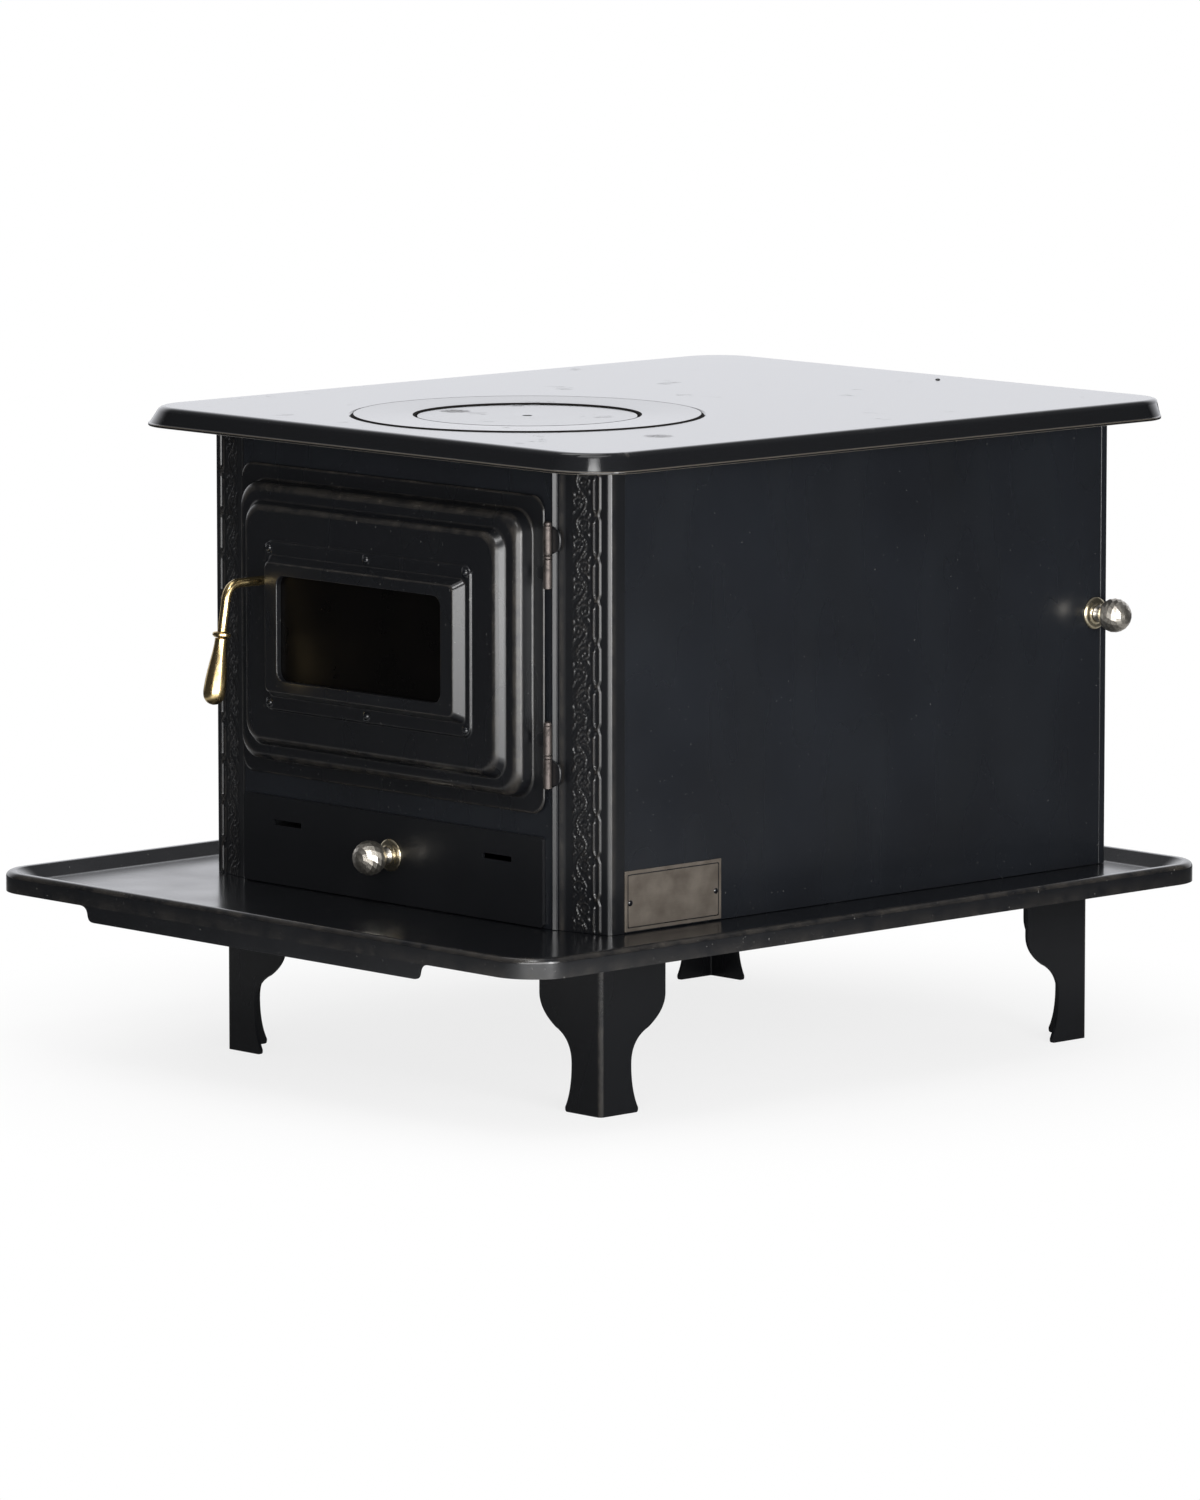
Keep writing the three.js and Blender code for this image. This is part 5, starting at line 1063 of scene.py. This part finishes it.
def leg(node, side_x, side_y):
    """Angle of sheet: at each height two equal leaves joined by a bend, as wide as the outline says."""
    low, high = span(node)
    toe, waist, neck, shoulder, head = (41.5, 4), (34, 40), (53, 68), (72, 94), (72, high[2])
    edge = np.concatenate([curve((39, 0), (42, 0), toe), curve(toe, (34, 18), waist)[1:],
                           curve(waist, (34, 60), neck)[1:], curve(neck, (72, 80), shoulder)[1:], [head]])
    corner = np.array([low[0] if side_x > 0 else high[0], low[1] if side_y > 0 else high[1]])
    rings = []
    for width, z in edge:
        outer = rounded([(width, 0, 0), (0, 0, LEG_BEND), (0, width, 0)], LEG_BEND_STEPS)
        inner = rounded([(SHEET_LEG, width, 0), (SHEET_LEG, SHEET_LEG, LEG_BEND - SHEET_LEG + 0.2),
                         (width, SHEET_LEG, 0)], LEG_BEND_STEPS)
        ring = np.concatenate([outer, inner]) * (side_x, side_y) + corner
        rings.append(np.column_stack([ring, np.full(len(ring), z)]))
    # The bend between the leaves carries rubbed wear and a painted highlight.
    wear_and_sheen = np.zeros((len(rings), len(rings[0])))
    wear_and_sheen[:, 1:LEG_BEND_STEPS + 2] = 0.8 * np.sin(np.linspace(0, np.pi, LEG_BEND_STEPS + 1)) ** 0.5
    shell(f"{node}_pressed", rings, LEG_ENAMEL, "stove", (node,), wear_and_sheen=wear_and_sheen)
    x0, x1 = sorted((corner[0] + side_x * SHEET_LEG, corner[0] + side_x * LEG_LUG))
    y0, y1 = sorted((corner[1] + side_y * SHEET_LEG, corner[1] + side_y * LEG_LUG))
    slab(f"{node}_lug", [(x0, y0), (x1, y0), (x1, y1), (x0, y1)], "xy", high[2] - SHEET_LEG, SHEET_LEG, 0.6,
         LEG_ENAMEL, "stove")


hearth_tray()
for node, side_x, side_y in (("leg_front_left", 1, 1), ("leg_front_right", -1, 1),
                             ("leg_rear_left", 1, -1), ("leg_rear_right", -1, -1)):
    leg(node, side_x, side_y)


# ---------------------------------------------------------------- corner strips
def ridge(distance, width):
    """A rounded ridge of height 1, as wide as `width` on each side of its crest."""
    return np.clip(1 - (distance / width) ** 2, 0, 1)


SHEET_STRIP = 2
STRIP_SETBACK, STRIP_WING, STRIP_TAIL = 12.5, 13.5, 16  # its face's lean and the folds beside it
RELIEF_FROM, RELIEF_TO, RELIEF_FADE = 6, 46, 4  # along the section, and how near the strip's ends it dies out
GRID_ACROSS, GRID_UP = 0.62, 0.8
LINK = 34.4  # from one knot of the chain to the next
FIRST_KNOT = 27.7  # above the strip's foot
SCROLL_AT, CHAIN_AT = 20.0, 35.2  # along the section from its inner edge


def strip_relief(s, z):
    """Pressed ornament in millimetres at s along the section from its inner edge and z up the strip.

    A stem swings in a sine round curls and leaves over a fine grain; beside it two rails close on knots.
    """
    up = (z - FIRST_KNOT + LINK / 2) % LINK - LINK / 2
    u = s - SCROLL_AT
    phase = 2 * np.pi * up / LINK
    height = 0.6 * ridge(u - 4.6 * np.sin(phase), 1.2)
    for side, curl_z in ((1, -LINK / 4), (-1, LINK / 4)):
        v = (up - curl_z + LINK / 2) % LINK - LINK / 2
        across = u - side * 3.0
        radius = np.hypot(across, v)
        spiral = np.abs(radius - 4.4 - 0.4 * np.arctan2(v, across * side))
        height = np.maximum(height, 0.5 * ridge(spiral, 1.1) * (radius < 6.4))
        height = np.maximum(height, 0.6 * ridge(radius, 1.8))
        for lean, leaf_u, leaf_v in ((0.5, 7.6, 7.0), (-0.6, 7.2, -7.4), (0.9, 3.2, 9.6)):
            du, dv = u - side * leaf_u, v - leaf_v
            along, off = dv + lean * side * du, du - lean * side * dv
            height = np.maximum(height, 0.75 * ridge(np.hypot(off / 1.4, along / 4.2), 1.0))
    grain = 0.34 * np.sin(1.9 * s + 1.7 * np.sin(0.55 * z)) * np.sin(1.3 * z + 1.3 * np.sin(0.9 * s))
    height = (height + grain) * ridge(np.clip(np.abs(u) - 8.6, 0, None), 1.6)
    height = height - 0.5 * ridge(s - 8.6, 1.1)
    knot = np.abs(up)
    link = 2.9 * np.clip(knot / 4.5, 0.1, 1) ** 0.6
    across = s - CHAIN_AT
    rail = 1.1 * ridge(np.abs(across) - link, 1.45)
    broken = (across < 0) & (up > -6.5) & (up < -1.5)
    height = np.maximum(height, np.where(broken, 0, rail))
    height = np.maximum(height, 1.1 * ridge(np.hypot(across - 0.8, up), 2.2))
    return np.where((np.abs(across) < link - 1.2) & (knot > 3), -0.3, height)


def column(node, side):
    """Bent strip with the relief pressed out of its face; its section is carried up in fine steps."""
    low, high = span(node)
    inner_x, outer_x = (low[0], high[0]) if side > 0 else (-high[0], -low[0])
    front = low[1]
    edge = (inner_x, front + 1.8, 0.6) if side > 0 else (inner_x, front, 2.6)
    path = [(inner_x, front + STRIP_WING, 0), edge, (inner_x + 6.6, front + 4.6, 2.5),
            (outer_x, front + STRIP_SETBACK, 5), (outer_x, front + STRIP_SETBACK + STRIP_TAIL, 0)]
    outer = rounded(path, 8)
    length = np.concatenate([[0], np.cumsum(np.linalg.norm(np.diff(outer, axis=0), axis=1))])
    face_start, end = STRIP_WING - 3, length[-1]
    stops = np.concatenate([np.linspace(0, face_start, 4)[:-1], np.arange(face_start, end - 14, GRID_ACROSS),
                            np.linspace(end - 13, end, 4)])
    outer = np.column_stack([np.interp(stops, length, outer[:, 0]), np.interp(stops, length, outer[:, 1])])
    tangent = np.gradient(outer, axis=0)
    tangent /= np.linalg.norm(tangent, axis=1)[:, None]
    normal = np.stack([tangent[:, 1], -tangent[:, 0]], axis=1)
    inner = rounded(offset_path(path, SHEET_STRIP), 4)[::-1]
    z = np.arange(low[2], high[2] + GRID_UP / 2, GRID_UP)
    z[-1] = high[2]
    s, up = np.meshgrid(stops - STRIP_WING, z)
    from_end = np.minimum(up - low[2], high[2] - up)
    fade = ridge(np.clip(from_end - RELIEF_FADE, -RELIEF_FADE, 0), RELIEF_FADE)
    lift = strip_relief(s, up - low[2]) * fade * ((s > RELIEF_FROM) & (s < RELIEF_TO))
    face = outer[None] + normal[None] * lift[..., None]
    rings = np.concatenate([face, np.broadcast_to(inner, (len(z), *inner.shape))], axis=1)
    rings = np.dstack([rings[..., 0] * side, rings[..., 1], np.broadcast_to(z[:, None], rings.shape[:2])])
    # The bead, the outer bend and the relief's raised parts get rubbed wear with a painted highlight.
    bend = 0.6 * ridge(s - 1.0, 2.5) + 0.5 * ridge(s - 50, 4)
    wear_and_sheen = np.zeros(rings.shape[:2])
    wear_and_sheen[:, :len(stops)] = np.clip(lift, 0, 1) * 0.7 + bend
    shell(f"{node}_pressed", rings, COLUMN_ENAMEL, "stove", (node,), wear_and_sheen=wear_and_sheen)


def hinge_side_bead():
    """Bead on the front's edge beside the hinges: a low ridge whose outer side slopes back to the strip."""
    low, high = span("column_right")
    x, y = low[0], low[1]
    ridge_line = [(x - 4.3, y + 1.4), (x - 4.3, y - 0.6), (x - 3.6, y - 1.2), (x - 2.9, y - 1.2),
                  (x - 0.1, y + 1.3), (x - 0.1, y + 1.4)]
    slab("hinge_side_bead", ridge_line, "xy", low[2], high[2] - low[2] - 0.4, 0.3, COLUMN_ENAMEL, "stove")


column("column_left", -1)
column("column_right", 1)
hinge_side_bead()


# ---------------------------------------------------------------- flue
SCREW_CIRCLE = 71  # radius that the flange's screws stand on
PLATE_SCREW_AT = (28, 350)


def flue():
    """Rolled collar, flange with four screws, and the damper's shaft, all turned about their own axes."""
    low, high = span("flue_collar")
    x, z = (low[0] + high[0]) / 2, (low[2] + high[2]) / 2
    long = high[1] - low[1]
    collar = [(58, 0), (60, 0), (60, long - 6), (59.6, long - 2), (59, long), (57, long), (57.6, long - 2),
              (58, long - 6), (58, 0)]
    flange = [(60.3, 0), (82, 0), (82, 1.7), (81.2, 2.5), (62, 2.5), (60.3, 2.1), (60.3, 0)]
    for name, profile, node in (("flue_collar_rolled", collar, "flue_collar"),
                                ("flue_flange_turned", flange, "flue_flange")):
        place = (x, span(node)[0][1], z)
        lathe(name, profile, place, (0, 1, 0), ENAMEL, "stove", (node,), 96)
    screw = [(0, -0.2), (3.6, -0.2), (3.6, 0.4), (3.1, 1.3), (2, 1.9), (0, 2.1)]
    step = SCREW_CIRCLE * math.sqrt(0.5)
    for k, (dx, dz) in enumerate(((1, 1), (-1, 1), (-1, -1), (1, -1))):
        place = (x + dx * step, span("flue_flange")[1][1], z + dz * step)
        lathe(f"flue_screw_{k}", screw, place, (0, 1, 0), ZINC, "stove", (), 24)
    low, high = span("damper_shaft")
    long = high[0] - low[0]
    shaft = [(0, 0), (2.5, 0), (3, 0.5), (3, long - 0.5), (2.5, long), (0, long)]
    lathe("damper_shaft_turned", shaft, (low[0], *middle("damper_shaft")[1:]), (1, 0, 0), ZINC, "damper",
          ("damper_shaft",), 32)


def name_plate_trim():
    """A thin raised line set in from the plate's edge, and a rivet at each end; the field is bare."""
    low, high = span("name_plate")
    centre, half = (low + high) / 2, (high - low) / 2
    line = [(2.8, -0.1), (2.8, 0.15), (3.6, 0.15), (3.6, -0.1)]
    rings = [[(high[0] + rise, y, z) for y, z in rectangle_ring(*centre[1:], *(half[1:] - inset), 1.2, 4)]
             for inset, rise in line]
    shell("name_plate_border", rings, ENAMEL, "stove", closed=True)
    head = [(0, -0.1), (2.4, -0.1), (2.4, 0.1), (2.0, 0.5), (1.2, 0.8), (0, 0.9)]
    for end, y in (("front", low[1] + 6), ("rear", high[1] - 6)):
        lathe(f"name_plate_rivet_{end}", head, (high[0], y, centre[2] - 1.5), (1, 0, 0), RIVET_ENAMEL,
              "stove", steps=20)


def rear_screw():
    """One small screw near the plate's rear edge."""
    screw = [(0, -0.2), (2.2, -0.2), (2.2, 0.2), (1.7, 0.8), (0.8, 1.1), (0, 1.15)]
    lathe("plate_screw", screw, (*PLATE_SCREW_AT, PLATE_TOP), UP, PLATE, "stove", (), 20)


flue()
eased("damper_flap", 0.3, IRON, "damper")

# ---------------------------------------------------------------- casing, drawer and firebox
for nodes, width, material, slot, body, segments in [
    (("base_plate", "front_panel", "side_panel_left", "side_panel_right", "rear_panel"), 0.5, PANEL_ENAMEL,
     "black_enamel", "stove", 2),
    (("firebox_shelf",), 0.8, IRON, "cast_iron", "stove", 2),
    (("grate",), 1.2, IRON, "cast_iron", "stove", 2),
    (("baffle",), 1.0, IRON, "cast_iron", "stove", 2),
    (("brick_left", "brick_right", "brick_rear"), 2.5, BRICK, "fire_brick", "stove", 3),
    (("drawer_runner_left", "drawer_runner_right"), 0.4, ZINC, "zinc_steel", "stove", 2),
    (("drawer_front",), 0.8, DRAWER_ENAMEL, "black_enamel", "drawer", 3),
    (("drawer_box",), 0.4, ZINC, "zinc_steel", "drawer", 2),
    (("name_plate",), 0.2, ETCHED, "plate_metal", "stove", 2),
]:
    for node in nodes:
        eased(node, width, material, body, segments)
name_plate_trim()
rear_screw()
